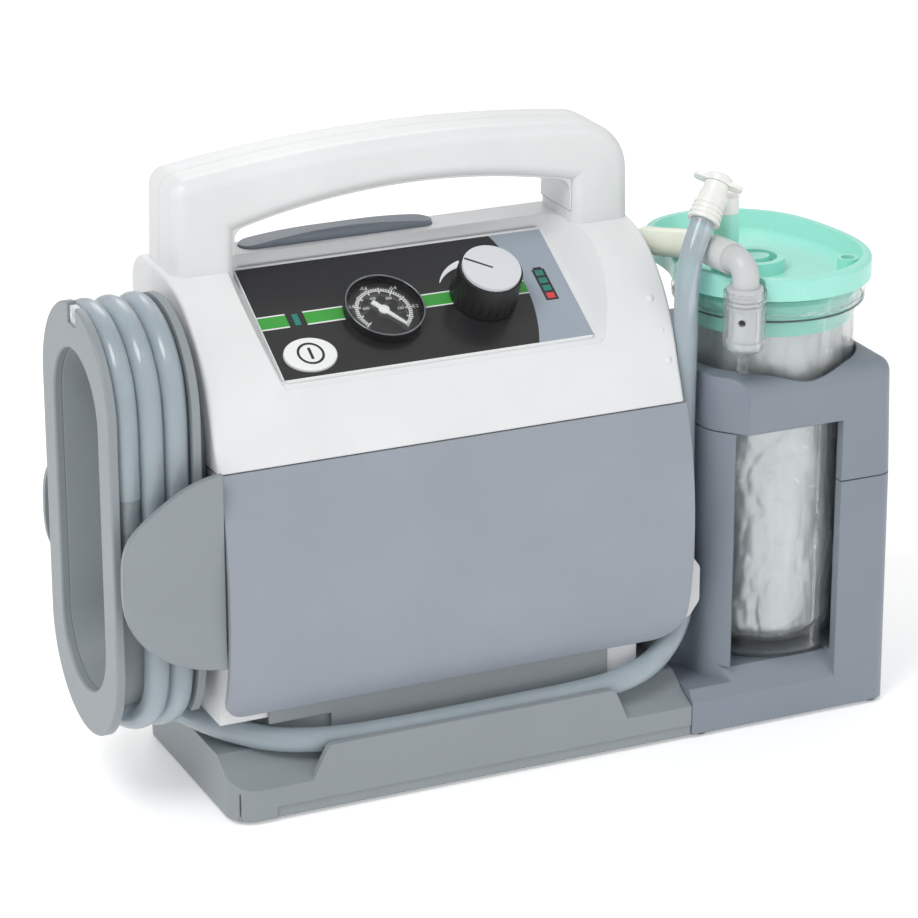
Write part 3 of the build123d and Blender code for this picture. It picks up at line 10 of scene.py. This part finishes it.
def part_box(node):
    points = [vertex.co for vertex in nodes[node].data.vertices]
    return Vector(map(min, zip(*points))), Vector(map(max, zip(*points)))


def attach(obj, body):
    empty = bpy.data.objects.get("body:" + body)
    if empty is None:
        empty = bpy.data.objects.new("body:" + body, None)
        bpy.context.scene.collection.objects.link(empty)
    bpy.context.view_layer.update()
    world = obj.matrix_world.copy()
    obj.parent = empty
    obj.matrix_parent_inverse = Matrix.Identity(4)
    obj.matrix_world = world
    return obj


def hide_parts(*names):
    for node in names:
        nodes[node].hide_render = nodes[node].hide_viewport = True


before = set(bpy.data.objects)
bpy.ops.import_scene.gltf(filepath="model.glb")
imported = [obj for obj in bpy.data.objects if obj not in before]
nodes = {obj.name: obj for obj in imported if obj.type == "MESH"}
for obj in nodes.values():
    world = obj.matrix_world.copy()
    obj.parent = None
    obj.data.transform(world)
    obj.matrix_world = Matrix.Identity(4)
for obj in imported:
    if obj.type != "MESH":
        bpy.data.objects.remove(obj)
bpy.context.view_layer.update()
scene = bpy.context.scene
MM = 0.001


def link(piece):
    scene.collection.objects.link(piece)
    return piece


# --- camera -------------------------------------------------------------------------------------
camera = link(bpy.data.objects.new("camera", bpy.data.cameras.new("camera")))
camera.data.lens = 145.1
camera.data.sensor_width = 36
camera.data.clip_end = 50
camera.location = (-0.7130, -1.5394, 0.7869)
AIM = Vector((0.007, 0.033, 0.130))
camera.rotation_euler = (AIM - camera.location).to_track_quat("-Z", "Y").to_euler()
scene.camera = camera

# --- suction hose -------------------------------------------------------------------------------
HOSE_D = 0.012
HOSE_ROUTE = [
    (0.1075, -0.033, 0.2625), (0.0979, -0.0388, 0.2491), (0.0934, -0.0416, 0.2325),
    (0.0959, -0.0376, 0.200), (0.0963, -0.0356, 0.160), (0.0963, -0.037, 0.112),
    (0.0966, -0.0405, 0.066), (0.0872, -0.045, 0.0473), (0.0695, -0.0506, 0.0362),
    (0.042, -0.0521, 0.0324), (-0.004, -0.052, 0.0319), (-0.054, -0.0522, 0.0316),
    (-0.096, -0.0516, 0.0322), (-0.125, -0.0465, 0.0346), (-0.145, -0.032, 0.0382),
    (-0.157, -0.014, 0.041), (-0.165, 0.006, 0.0425),
]
REEL_Z, COIL_R, HALF_STRAIGHT = 0.1435, 0.040, 0.061
TURN_X = (-0.1697, -0.1817, -0.1937)
END_X, END_Z = -0.1935, 0.168


def turn_outline():
    """(Y, Z) of one turn on the reel, from the bottom up the back and round to the bottom again."""
    corner = COIL_R / cos(radians(15))
    points = []
    for angle in range(-75, 285, 30):
        centre = REEL_Z + HALF_STRAIGHT * (1 if 0 < angle < 180 else -1)
        points.append((corner * cos(radians(angle)), centre + corner * sin(radians(angle))))
        if angle in (-15, 165):
            side = 1 if angle == -15 else -1
            points += [(side * COIL_R, REEL_Z - side * 0.035), (side * COIL_R, REEL_Z + side * 0.035)]
    return points


def coil_points():
    """The reel's turns, each a hose's width further out, until the hose's end at the front."""
    points = []
    for turn, x in enumerate(TURN_X):
        for step, (y, z) in enumerate(turn_outline()):
            if turn == 0 and step == 0:
                continue
            if turn == len(TURN_X) - 1 and step == 12:
                return points + [(END_X, -COIL_R, END_Z)]
            aside = 0.004 if step == 0 else -0.004 if step == 15 else 0
            points.append((x + aside, y, z))
    return points


def nurbs(name, points, radius):
    curve = bpy.data.curves.new(name, "CURVE")
    curve.dimensions = "3D"
    curve.bevel_depth = 1.0
    curve.bevel_resolution = 7
    curve.use_fill_caps = True
    spline = curve.splines.new("NURBS")
    spline.points.add(len(points) - 1)
    for point, place in zip(spline.points, points):
        point.co = (*place, 1)
        point.radius = radius
    spline.order_u = 3
    spline.use_endpoint_u = True
    spline.resolution_u = 10
    return link(bpy.data.objects.new(name, curve))


suction_hose = nurbs("suction_hose", HOSE_ROUTE + coil_points(), HOSE_D / 2)
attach(suction_hose, "case")
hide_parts("suction_hose_run", "suction_hose_coil")


# --- materials ----------------------------------------------------------------------------------
def srgb(*rgb):
    """A display colour, 0 to 255, as the linear colour that the shader takes."""
    return tuple((c / 255 / 12.92) if c < 11 else ((c / 255 + 0.055) / 1.055) ** 2.4 for c in rgb) + (1,)


def surface(
    name, colour, rough=0.45, grain=1400, bump=0.08, tint=0.03, scuff=0.06, edge=0.0, **sockets
):
    """A material with fine grain, slow colour drift and uneven gloss; sockets sets the shader's own.

    edge is the radius that its sharp edges look rounded to.
    """
    material = bpy.data.materials.new(name)
    material.use_nodes = True
    tree = material.node_tree
    shader = tree.nodes["Principled BSDF"]
    coords = tree.nodes.new("ShaderNodeTexCoord")

    def field(scale, detail=3.0, roughness=0.55):
        texture = tree.nodes.new("ShaderNodeTexNoise")
        texture.inputs["Scale"].default_value = scale
        texture.inputs["Detail"].default_value = detail
        texture.inputs["Roughness"].default_value = roughness
        tree.links.new(coords.outputs["Object"], texture.inputs["Vector"])
        return texture.outputs["Fac"]

    ramp = tree.nodes.new("ShaderNodeValToRGB")
    ramp.color_ramp.elements[0].position = 0.3
    ramp.color_ramp.elements[1].position = 0.7
    for element, share in zip(ramp.color_ramp.elements, (1 - tint, 1 + tint)):
        element.color = tuple(min(1, c * share) for c in colour[:3]) + (1,)
    tree.links.new(field(22), ramp.inputs["Fac"])
    tree.links.new(ramp.outputs["Color"], shader.inputs["Base Color"])
    gloss = tree.nodes.new("ShaderNodeMapRange")
    gloss.inputs["To Min"].default_value = max(0.02, rough - scuff)
    gloss.inputs["To Max"].default_value = rough + scuff
    tree.links.new(field(160, 5), gloss.inputs["Value"])
    tree.links.new(gloss.outputs["Result"], shader.inputs["Roughness"])
    relief = tree.nodes.new("ShaderNodeBump")
    relief.inputs["Strength"].default_value = bump
    relief.inputs["Distance"].default_value = 0.0003
    if edge:
        rounded = tree.nodes.new("ShaderNodeBevel")
        rounded.samples = 4
        rounded.inputs["Radius"].default_value = edge
        tree.links.new(rounded.outputs["Normal"], relief.inputs["Normal"])
    tree.links.new(field(grain, 2), relief.inputs["Height"])
    tree.links.new(relief.outputs["Normal"], shader.inputs["Normal"])
    shader.inputs["Subsurface Scale"].default_value = 0.002
    for socket, value in sockets.items():
        shader.inputs[socket.replace("_", " ")].default_value = value
    return material


WHITE = surface("white_shell", srgb(229, 230, 231), 0.40, edge=0.0009)
COVER = surface("grey_cover", srgb(151, 158, 168), 0.38, edge=0.0007)
BASE = surface("grey_base", srgb(144, 151, 155), 0.44, edge=0.0009)
HOLDER = surface("holder_grey", srgb(132, 141, 152), 0.40, edge=0.0010)
KEY = surface("dark_key", srgb(120, 129, 139), 0.34, edge=0.0008)
BLACK = surface("black_plastic", srgb(32, 32, 34), 0.42, tint=0.12)
RUBBER = surface("soft_rubber", srgb(48, 49, 51), 0.75, grain=900, bump=0.2, tint=0.1)
LIGHT = surface("light_plastic", srgb(214, 216, 218), 0.34)
GREY_LIGHT = surface("grey_light", srgb(204, 206, 208), 0.36)
PALE = surface("pale_fitting", srgb(240, 240, 236), 0.3, Subsurface_Weight=0.15)
SILVER = surface("silver_cap", srgb(214, 218, 222), 0.36, tint=0.02)
HOSE = surface(
    "hose", srgb(206, 219, 227), 0.20, grain=240, bump=0.03, scuff=0.05, tint=0.05,
    Subsurface_Weight=0.3, Transmission_Weight=0.5, IOR=1.4, Coat_Weight=0.3,
)
LID = surface("lid_green", srgb(164, 234, 219), 0.26, bump=0.03)
SEAL = surface("seal", srgb(130, 212, 195), 0.5)
CLEAR = surface(
    "clear", srgb(250, 253, 252), 0.03, grain=300, bump=0.012, tint=0.002, scuff=0.015,
    Transmission_Weight=1.0, IOR=1.38, Alpha=0.5,
)
LENS = surface(
    "lens", srgb(244, 246, 246), 0.03, grain=300, bump=0.004, tint=0.003, scuff=0.01,
    Transmission_Weight=1.0, IOR=1.3, Alpha=0.10,
)
TEAL_LED = surface("teal_led", srgb(22, 122, 110), 0.25, tint=0.15, Coat_Weight=0.5)
RED_LED = surface("red_led", srgb(214, 62, 66), 0.25, tint=0.12, Coat_Weight=0.5)
STEEL = surface("steel", srgb(190, 192, 196), 0.28, grain=500, bump=0.05, Metallic=1.0)
METAL = surface("motor_metal", srgb(150, 152, 156), 0.38, grain=700, bump=0.1, Metallic=0.9)
BOARD = surface("board", srgb(34, 96, 62), 0.4, tint=0.15)
BATTERY = surface("battery_sleeve", srgb(40, 62, 96), 0.35, tint=0.08)
PRINT_BLACK = surface("print_black", srgb(38, 38, 40), 0.30, grain=2200, tint=0.08, Coat_Weight=0.2)
PRINT_BLUE = surface("print_blue", srgb(157, 168, 179), 0.32, grain=2200, tint=0.02)
PRINT_GREEN = surface("print_green", srgb(62, 160, 62), 0.30, grain=2200, tint=0.04)
PRINT_WHITE = surface("print_white", srgb(238, 240, 240), 0.32, grain=2200, tint=0.01)
FILM = surface(
    "film", srgb(226, 230, 231), 0.24, grain=1500, bump=0.7, tint=0.06, scuff=0.10,
    Metallic=0.4, Alpha=0.88,
)
VINYL = surface(
    "clear_fitting", srgb(222, 232, 238), 0.16, grain=400, bump=0.03, tint=0.02,
    Transmission_Weight=0.7, IOR=1.4,
)

FINISH = {
    "base_plate": BASE, "base_screws": STEEL, "battery_leds": TEAL_LED, "battery_pack": BATTERY,
    "bottom_plate": BASE, "canister": CLEAR, "check_valve": LIGHT, "circuit_board": BOARD,
    "control_panel": PRINT_WHITE, "dc_inlet": BLACK, "exhaust_filter": LIGHT, "front_cover": COVER,
    "gauge_case": BLACK, "gauge_dial": PRINT_BLACK, "gauge_lens": LENS, "gauge_needle": PRINT_WHITE,
    "handle_grip": WHITE, "holder_base": HOLDER, "holder_collar": HOLDER, "hose_end_connector": VINYL,
    "hose_guard_front": BASE, "hose_guard_rear": BASE, "hose_tab": LIGHT, "housing_screws": STEEL,
    "inner_vacuum_tube": HOSE, "knob": BLACK, "knob_cap": SILVER, "knob_shaft": STEEL,
    "latch_bar": LIGHT, "lid": LID, "lid_seal": SEAL, "liner_bag": FILM, "low_battery_led": RED_LED,
    "lower_chassis": WHITE, "lower_skirt": BASE, "motor_shaft": STEEL, "patient_connector": PALE,
    "port_cap": PALE, "power_button": PRINT_WHITE, "pump_head": METAL, "pump_motor": METAL,
    "rear_cover": COVER, "reel_clip": LIGHT, "reel_core": BASE, "reel_disc": BASE,
    "reel_flange": BASE, "reel_screws": STEEL, "regulator_valve": BLACK, "release_button": KEY,
    "release_springs": STEEL, "rubber_feet": RUBBER, "status_led": TEAL_LED,
    "suction_hose_coil": HOSE, "suction_hose_run": HOSE, "upper_shell_front": WHITE,
    "upper_shell_rear": WHITE, "vacuum_elbow": GREY_LIGHT, "vacuum_hose": PALE, "vacuum_port": LIGHT,
}


def paint(piece, material):
    """Gives the whole piece one material."""
    slots = piece.data.materials
    if len(slots):
        for index in range(len(slots)):
            slots[index] = material
    else:
        slots.append(material)


for node, material in FINISH.items():
    paint(nodes[node], material)
paint(suction_hose, HOSE)


def second_colour(material, colour, *limits):
    """Colours the part of the piece that is inside every limit: an axis, a sign and a place in metres."""
    tree = material.node_tree
    shader = tree.nodes["Principled BSDF"]
    place = tree.nodes.new("ShaderNodeSeparateXYZ")
    tree.links.new(tree.nodes["Texture Coordinate"].outputs["Object"], place.inputs[0])
    share = None
    for axis, side, limit in limits:
        inside = tree.nodes.new("ShaderNodeMath")
        inside.operation = side
        inside.inputs[1].default_value = limit
        tree.links.new(place.outputs[axis], inside.inputs[0])
        if share is not None:
            both = tree.nodes.new("ShaderNodeMath")
            both.operation = "MULTIPLY"
            tree.links.new(share, both.inputs[0])
            tree.links.new(inside.outputs[0], both.inputs[1])
            inside = both
        share = inside.outputs[0]
    mix = tree.nodes.new("ShaderNodeMix")
    mix.data_type = "RGBA"
    tree.links.new(share, mix.inputs["Factor"])
    tree.links.new(shader.inputs["Base Color"].links[0].from_socket, mix.inputs["A"])
    mix.inputs["B"].default_value = colour
    tree.links.new(mix.outputs["Result"], shader.inputs["Base Color"])
    return material


# The vacuum hose is cream; the cuff over its front end is grey-white.
cream = surface("vacuum_hose", srgb(222, 227, 212), 0.32, bump=0.03, Subsurface_Weight=0.3)
CUFF_LONG = 0.0155
cuff_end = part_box("vacuum_hose")[0].y + CUFF_LONG
paint(nodes["vacuum_hose"], second_colour(cream, srgb(216, 217, 216), ("Y", "LESS_THAN", cuff_end)))
# The chassis is white, and grey below the cover where the skirt runs on beside the hose.
chassis = surface("chassis", srgb(229, 230, 231), 0.40, edge=0.0009)
skirt_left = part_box("lower_skirt")[0].x
GREY_RIGHT, GREY_TOP = 0.052, 0.0525
grey_part = (
    ("X", "GREATER_THAN", skirt_left), ("X", "LESS_THAN", GREY_RIGHT), ("Z", "LESS_THAN", GREY_TOP)
)
paint(nodes["lower_chassis"], second_colour(chassis, srgb(144, 151, 155), *grey_part))

# --- printed panel ------------------------------------------------------------------------------
# Panel coordinates, in millimetres: u across from the middle, v up the slope from the lower edge.
TILT = radians(30)
PANEL_HALF, PANEL_H = 79.0, 72.0
panel_low, panel_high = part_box("control_panel")
PANEL = (
    Matrix.Translation(
        (panel_high.x - PANEL_HALF * MM, panel_low.y, panel_high.z - PANEL_H * MM * sin(TILT))
    )
    @ Matrix.Rotation(TILT, 4, "X")
)
PANEL_LEFT = PANEL_HALF - (panel_high.x - panel_low.x) / MM
GAUGE_AT, KNOB_AT, POWER_AT = (-19.5, 33.0), (33.0, 34.0), (-64.3, 13.2)
STATUS_AT, BATTERY_AT = (-63.0, 36.0), (67.0, 36.0)
STATUS_HALF = (1.6, 3.6)
LED_HALF = (2.2, 1.9)
LED_HEIGHTS = (-7.5, -2.5, 2.5, 7.5)
INK = 0.12


def flat_piece(name, outlines, height, material, body="case", thick=INK, frame_to=PANEL):
    """A thin layer with these outlines on the panel; an outline inside another is a hole."""
    curve = bpy.data.curves.new(name, "CURVE")
    curve.dimensions = "2D"
    curve.fill_mode = "BOTH"
    curve.extrude = thick / 2
    for outline in outlines:
        spline = curve.splines.new("POLY")
        spline.points.add(len(outline) - 1)
        for point, (u, v) in zip(spline.points, outline):
            point.co = (u, v, 0, 1)
        spline.use_cyclic_u = True
    return flat_mesh(name, curve, height + thick / 2, material, body, frame_to)


def flat_mesh(name, curve, height, material, body, frame_to=PANEL):
    drawn = link(bpy.data.objects.new(name + "_drawing", curve))
    bpy.context.view_layer.update()
    mesh = bpy.data.meshes.new_from_object(drawn.evaluated_get(bpy.context.evaluated_depsgraph_get()))
    bpy.data.objects.remove(drawn)
    mesh.name = name
    mesh.transform(frame_to @ Matrix.Scale(MM, 4) @ Matrix.Translation((0, 0, height)))
    piece = link(bpy.data.objects.new(name, mesh))
    paint(piece, material)
    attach(piece, body)
    return piece


def round_outline(at, across, up=None, count=72):
    up = up or across
    turns = [2 * pi * i / count for i in range(count)]
    return [(at[0] + across * cos(turn), at[1] + up * sin(turn)) for turn in turns]


def box_outline(left, foot, right, top):
    return [(left, foot), (right, foot), (right, top), (left, top)]


def centred_box(at, half):
    return box_outline(at[0] - half[0], at[1] - half[1], at[0] + half[0], at[1] + half[1])


def arc_band(at, inner, outer, start, end, count=40):
    """A band between two radii; each radius is a pair, at the start and at the end."""
    steps = [i / count for i in range(count + 1)]
    points = []
    for (r0, r1), order in ((outer, steps), (inner, steps[::-1])):
        for s in order:
            turn = radians(start + (end - start) * s)
            r = r0 + (r1 - r0) * s
            points.append((at[0] + r * cos(turn), at[1] + r * sin(turn)))
    return points


def zone_edge(v):
    """Where the black zone of the panel ends and the blue-grey one starts."""
    return 57.0 - (v - 38.0) ** 2 / 184.0


EDGE_IN, ZONE_GAP = 0.5, 0.02
GAUGE_HOLE, SHAFT_HOLE, POWER_HOLE = 19.7, 3.6, (13.5, 10.5)
heights = [EDGE_IN + (PANEL_H - 2 * EDGE_IN) * i / 40 for i in range(41)]
black_zone = [(PANEL_LEFT + EDGE_IN, heights[0]), *[(zone_edge(v), v) for v in heights]]
black_zone.append((PANEL_LEFT + EDGE_IN, heights[-1]))
blue_zone = [(PANEL_HALF - EDGE_IN, heights[0]), *[(zone_edge(v) + ZONE_GAP, v) for v in heights]]
blue_zone.append((PANEL_HALF - EDGE_IN, heights[-1]))
led_windows = [centred_box((BATTERY_AT[0], BATTERY_AT[1] + v), LED_HALF) for v in LED_HEIGHTS]
flat_piece(
    "panel_black",
    [
        black_zone, round_outline(GAUGE_AT, GAUGE_HOLE), round_outline(KNOB_AT, SHAFT_HOLE),
        round_outline(POWER_AT, *POWER_HOLE), centred_box(STATUS_AT, STATUS_HALF),
    ],
    0, PRINT_BLACK,
)
flat_piece("panel_blue", [blue_zone, *led_windows], 0, PRINT_BLUE)

# The green stripe between its two white lines, broken beside the light, the gauge and the knob.
BAND = (31.8, 40.4)
LINE, OPEN_JOINT = 0.75, 0.02
LIGHT_BREAK = (-67.6, -58.6)
GAUGE_BREAK, KNOB_BREAK = 19.9, 6


def band_run(foot, top):
    """The stripe's four stretches between two heights, from the left edge to the blue-grey zone."""
    levels = [foot + (top - foot) * i / 8 for i in range(9)]
    gauge = [sqrt(GAUGE_BREAK**2 - (v - GAUGE_AT[1]) ** 2) for v in levels]
    to_gauge = [(GAUGE_AT[0] - g, v) for g, v in zip(gauge, levels)]
    from_gauge = [(GAUGE_AT[0] + g, v) for g, v in zip(gauge, levels)]
    to_edge = [(zone_edge(v), v) for v in levels]
    return [
        box_outline(PANEL_LEFT + EDGE_IN, foot, LIGHT_BREAK[0], top),
        [(LIGHT_BREAK[1], foot), *to_gauge, (LIGHT_BREAK[1], top)],
        [(KNOB_AT[0] - KNOB_BREAK, foot), *from_gauge, (KNOB_AT[0] - KNOB_BREAK, top)],
        [(KNOB_AT[0] + KNOB_BREAK, foot), *to_edge, (KNOB_AT[0] + KNOB_BREAK, top)],
    ]


flat_piece("stripe_green", band_run(BAND[0] + LINE, BAND[1] - LINE), INK, PRINT_GREEN)
flat_piece("stripe_line_low", band_run(BAND[0], BAND[0] + LINE - OPEN_JOINT), INK, PRINT_WHITE)
flat_piece("stripe_line_high", band_run(BAND[1] - LINE + OPEN_JOINT, BAND[1]), INK, PRINT_WHITE)
battery_outline = [
    (-3.3, -10.4), (3.3, -10.4), (3.3, 9.9), (2.2, 9.9), (2.2, 11.1), (-2.2, 11.1), (-2.2, 9.9), (-3.3, 9.9)
]
flat_piece(
    "battery_icon",
    [[(BATTERY_AT[0] + u, BATTERY_AT[1] + v) for u, v in battery_outline], *led_windows],
    INK, PRINT_BLACK,
)
flat_piece("flow_mark", [arc_band(KNOB_AT, (21.5, 20.5), (21.9, 24.6), 146, 98)], INK, PRINT_WHITE)
KEY_TOP = 1.6
flat_piece(
    "power_icon",
    [round_outline(POWER_AT, 6.7), round_outline(POWER_AT, 5.5), centred_box(POWER_AT, (0.7, 3.5))],
    KEY_TOP, PRINT_BLACK, body="power_key",
)
knob_low, knob_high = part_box("knob_cap")
CAP_HALF_THICK = 0.9
cap_top = (PANEL.inverted() @ ((knob_low + knob_high) / 2)).z / MM + CAP_HALF_THICK
POINTER = radians(145)
pointer = [
    (KNOB_AT[0] + a * cos(POINTER) - b * sin(POINTER), KNOB_AT[1] + a * sin(POINTER) + b * cos(POINTER))
    for a, b in ((-0.5, -0.45), (13.9, -0.55), (13.9, 0.55), (-0.5, 0.45))
]
flat_piece("knob_pointer", [pointer], cap_top, PRINT_BLACK, body="knob")

# --- gauge dial ---------------------------------------------------------------------------------
SCALE_START, SCALE_SWEEP = -54.0, 270.0
STEPS, STEPS_PER_MARK = 50, 5
BLOCK_R, MARK_R, LINE_R = (12.8, 14.1), (11.0, 14.5), (12.3, 12.7)
BLOCK_SHARE, MARK_HALF = 0.64, 1.6
DIAL_TOP = 1.2


def dial_arc(radii, start, end, count=3):
    """A band of even width on the dial."""
    return arc_band(GAUGE_AT, (radii[0], radii[0]), (radii[1], radii[1]), start, end, count)


blocks = []
for i in range(STEPS):
    if i % STEPS_PER_MARK == 0:
        continue
    start = SCALE_START + SCALE_SWEEP * (i - BLOCK_SHARE / 2) / STEPS
    blocks.append(dial_arc(BLOCK_R, start, start + SCALE_SWEEP * BLOCK_SHARE / STEPS))
for i in range(STEPS // STEPS_PER_MARK + 1):
    middle = SCALE_START + SCALE_SWEEP * i * STEPS_PER_MARK / STEPS
    blocks.append(dial_arc(MARK_R, middle - MARK_HALF, middle + MARK_HALF))
flat_piece("dial_scale", blocks, DIAL_TOP, PRINT_WHITE)
line = dial_arc(LINE_R, SCALE_START, SCALE_START + SCALE_SWEEP, 90)
flat_piece("dial_line", [line], DIAL_TOP, PRINT_WHITE)


def dial_number(name, text, share, radius, size):
    """A number that stands upright on the dial, at its place round the scale."""
    curve = bpy.data.curves.new(name, "FONT")
    curve.body = text
    curve.size = size
    curve.align_x = "CENTER"
    curve.align_y = "CENTER"
    curve.extrude = INK / 2
    turn = radians(SCALE_START + SCALE_SWEEP * share)
    at = (GAUGE_AT[0] + radius * cos(turn), GAUGE_AT[1] + radius * sin(turn))
    move = PANEL @ Matrix.Translation((at[0] * MM, at[1] * MM, 0))
    flat_mesh(name, curve, DIAL_TOP + INK / 2, PRINT_WHITE, "case", move)


OUTER_R, OUTER_SIZE = 15.9, 2.6
INNER_R, INNER_SIZE = 8.6, 2.3
INNER_PER_TENTH = 75
for tenths in (2, 4, 6, 8):
    dial_number(f"dial_outer_{tenths}", f"-0.{tenths}", tenths / 10, OUTER_R, OUTER_SIZE)
    dial_number(f"dial_inner_{tenths}", str(INNER_PER_TENTH * tenths), tenths / 10, INNER_R, INNER_SIZE)


# --- gauge bezel and canister gasket ------------------------------------------------------------
def ring_piece(name, centre, radius, section, material, squash=1.0, direction=(0, 0, 1), count=96):
    """A closed ring of round section, flattened by squash along its axis."""
    mesh = bmesh.new()
    turns = []
    for i in range(count):
        around = 2 * pi * i / count
        turns.append([])
        for j in range(12):
            across = 2 * pi * j / 12
            r = radius + section * cos(across)
            place = (r * cos(around), r * sin(around), section * squash * sin(across))
            turns[-1].append(mesh.verts.new(place))
    for turn, after in zip(turns, turns[1:] + turns[:1]):
        for j in range(12):
            k = (j + 1) % 12
            mesh.faces.new((turn[j], after[j], after[k], turn[k]))
    data = bpy.data.meshes.new(name)
    mesh.to_mesh(data)
    mesh.free()
    data.shade_smooth()
    upright = Vector(direction).to_track_quat("Z", "Y").to_matrix().to_4x4()
    data.transform(Matrix.Translation(centre) @ upright)
    piece = link(bpy.data.objects.new(name, data))
    paint(piece, material)
    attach(piece, "case")
    return piece


FACE = Vector((0, -sin(TILT), cos(TILT)))
BEZEL = surface("bezel", srgb(120, 124, 128), 0.10, grain=400, bump=0.01, Metallic=0.6, Coat_Weight=1.0)
GAUGE_RIM_TOP = 5.2
gauge_centre = PANEL @ Vector((GAUGE_AT[0] * MM, GAUGE_AT[1] * MM, GAUGE_RIM_TOP * MM))
ring_piece("gauge_bezel", gauge_centre, 0.0192, 0.0004, BEZEL, 0.7, FACE)
GASKET_AT = Vector((0.153, -0.016, 0.2126))
GASKET = surface("gasket", srgb(74, 80, 88), 0.35, tint=0.08)
ring_piece("canister_gasket", GASKET_AT, 0.0468, 0.0006, GASKET, 0.9)

# --- liner bag ----------------------------------------------------------------------------------
bag_low, bag_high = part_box("liner_bag")
BAG_AXIS = (bag_low + bag_high) / 2
BAG_R = (bag_high.x - bag_low.x) / 2
AROUND, UP = 220, 170
DEEPEST = 9.0
FOOT_SHARE, FOOT_SLOPE = 0.80, 5.0
END_GAP = 0.0004


def crease(point):
    """How deep the film lies at a place: flat facets that meet in sharp ridges."""
    return noise.voronoi(point)[0][0]


def bag_radius(angle, share):
    """The film's distance from the axis, creased in large, middle and fine facets and in long pleats."""
    ring = Vector((cos(angle), sin(angle), 0))
    up = Vector((0, 0, share))
    slack = 0.45 + 0.9 * max(0.0, 0.45 - share)
    depth = 3.4 * crease(ring * 2.0 + up * 4.6)
    depth += 2.2 * crease(ring * 4.9 + up * 11.0 + Vector((3, 1, 2)))
    depth += 0.9 * crease(ring * 12 + up * 27)
    depth += 1.4 * (1 - abs(sin(6.5 * angle + 2.6 * noise.noise(ring * 2 + up * 5)))) ** 4
    return BAG_R - min(0.2 + slack * 1.3 * depth, DEEPEST) * MM


bag = bmesh.new()
rows = []
for i in range(UP + 1):
    share = i / UP
    foot = min(1.0, FOOT_SHARE + FOOT_SLOPE * share)
    z = bag_low.z + END_GAP + (bag_high.z - bag_low.z - 2 * END_GAP) * share
    row = []
    for j in range(AROUND):
        angle = 2 * pi * j / AROUND
        r = bag_radius(angle, share) * foot
        row.append(bag.verts.new((BAG_AXIS.x + r * cos(angle), BAG_AXIS.y + r * sin(angle), z)))
    rows.append(row)
for low_row, high_row in zip(rows, rows[1:]):
    for j in range(AROUND):
        k = (j + 1) % AROUND
        bag.faces.new((low_row[j], low_row[k], high_row[k], high_row[j]))
middle = bag.verts.new((BAG_AXIS.x, BAG_AXIS.y, bag_low.z + 0.003))
for j in range(AROUND):
    bag.faces.new((middle, rows[0][(j + 1) % AROUND], rows[0][j]))
bag_mesh = bpy.data.meshes.new("crinkled_liner")
bag.to_mesh(bag_mesh)
bag.free()
bag_mesh.shade_smooth()
liner = link(bpy.data.objects.new("crinkled_liner", bag_mesh))
film_skin = liner.modifiers.new("film", "SOLIDIFY")
film_skin.thickness = 0.00015
paint(liner, FILM)
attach(liner, "case")
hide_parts("liner_bag")

# --- studio -------------------------------------------------------------------------------------
floor_mesh = bpy.data.meshes.new("floor")
sheet = bmesh.new()
bmesh.ops.create_grid(sheet, x_segments=8, y_segments=8, size=9)
sheet.to_mesh(floor_mesh)
sheet.free()
floor = link(bpy.data.objects.new("floor", floor_mesh))
floor_white = surface("floor", srgb(246, 246, 246), 0.7, grain=60, bump=0.01, tint=0.002)
floor_white.node_tree.nodes["Principled BSDF"].inputs["Emission Color"].default_value = (1, 1, 1, 1)
floor_white.node_tree.nodes["Principled BSDF"].inputs["Emission Strength"].default_value = 0.3
paint(floor, floor_white)

world = bpy.data.worlds.new("studio")
world.use_nodes = True
world.node_tree.nodes["Background"].inputs["Color"].default_value = (1, 1, 1, 1)
world.node_tree.nodes["Background"].inputs["Strength"].default_value = 0.60
scene.world = world
scene.view_settings.view_transform = "Standard"


def area_light(name, place, size, energy):
    light = bpy.data.lights.new(name, "AREA")
    light.shape = "DISK"
    light.size = size
    light.energy = energy
    lamp = link(bpy.data.objects.new(name, light))
    lamp.location = place
    lamp.rotation_euler = (Vector((0, 0, 0.12)) - lamp.location).to_track_quat("-Z", "Y").to_euler()


area_light("key", (-1.1, -0.7, 1.9), 1.0, 19)
area_light("fill", (1.7, -1.7, 0.9), 1.2, 5)
area_light("back", (0.5, 1.6, 1.6), 1.2, 8)
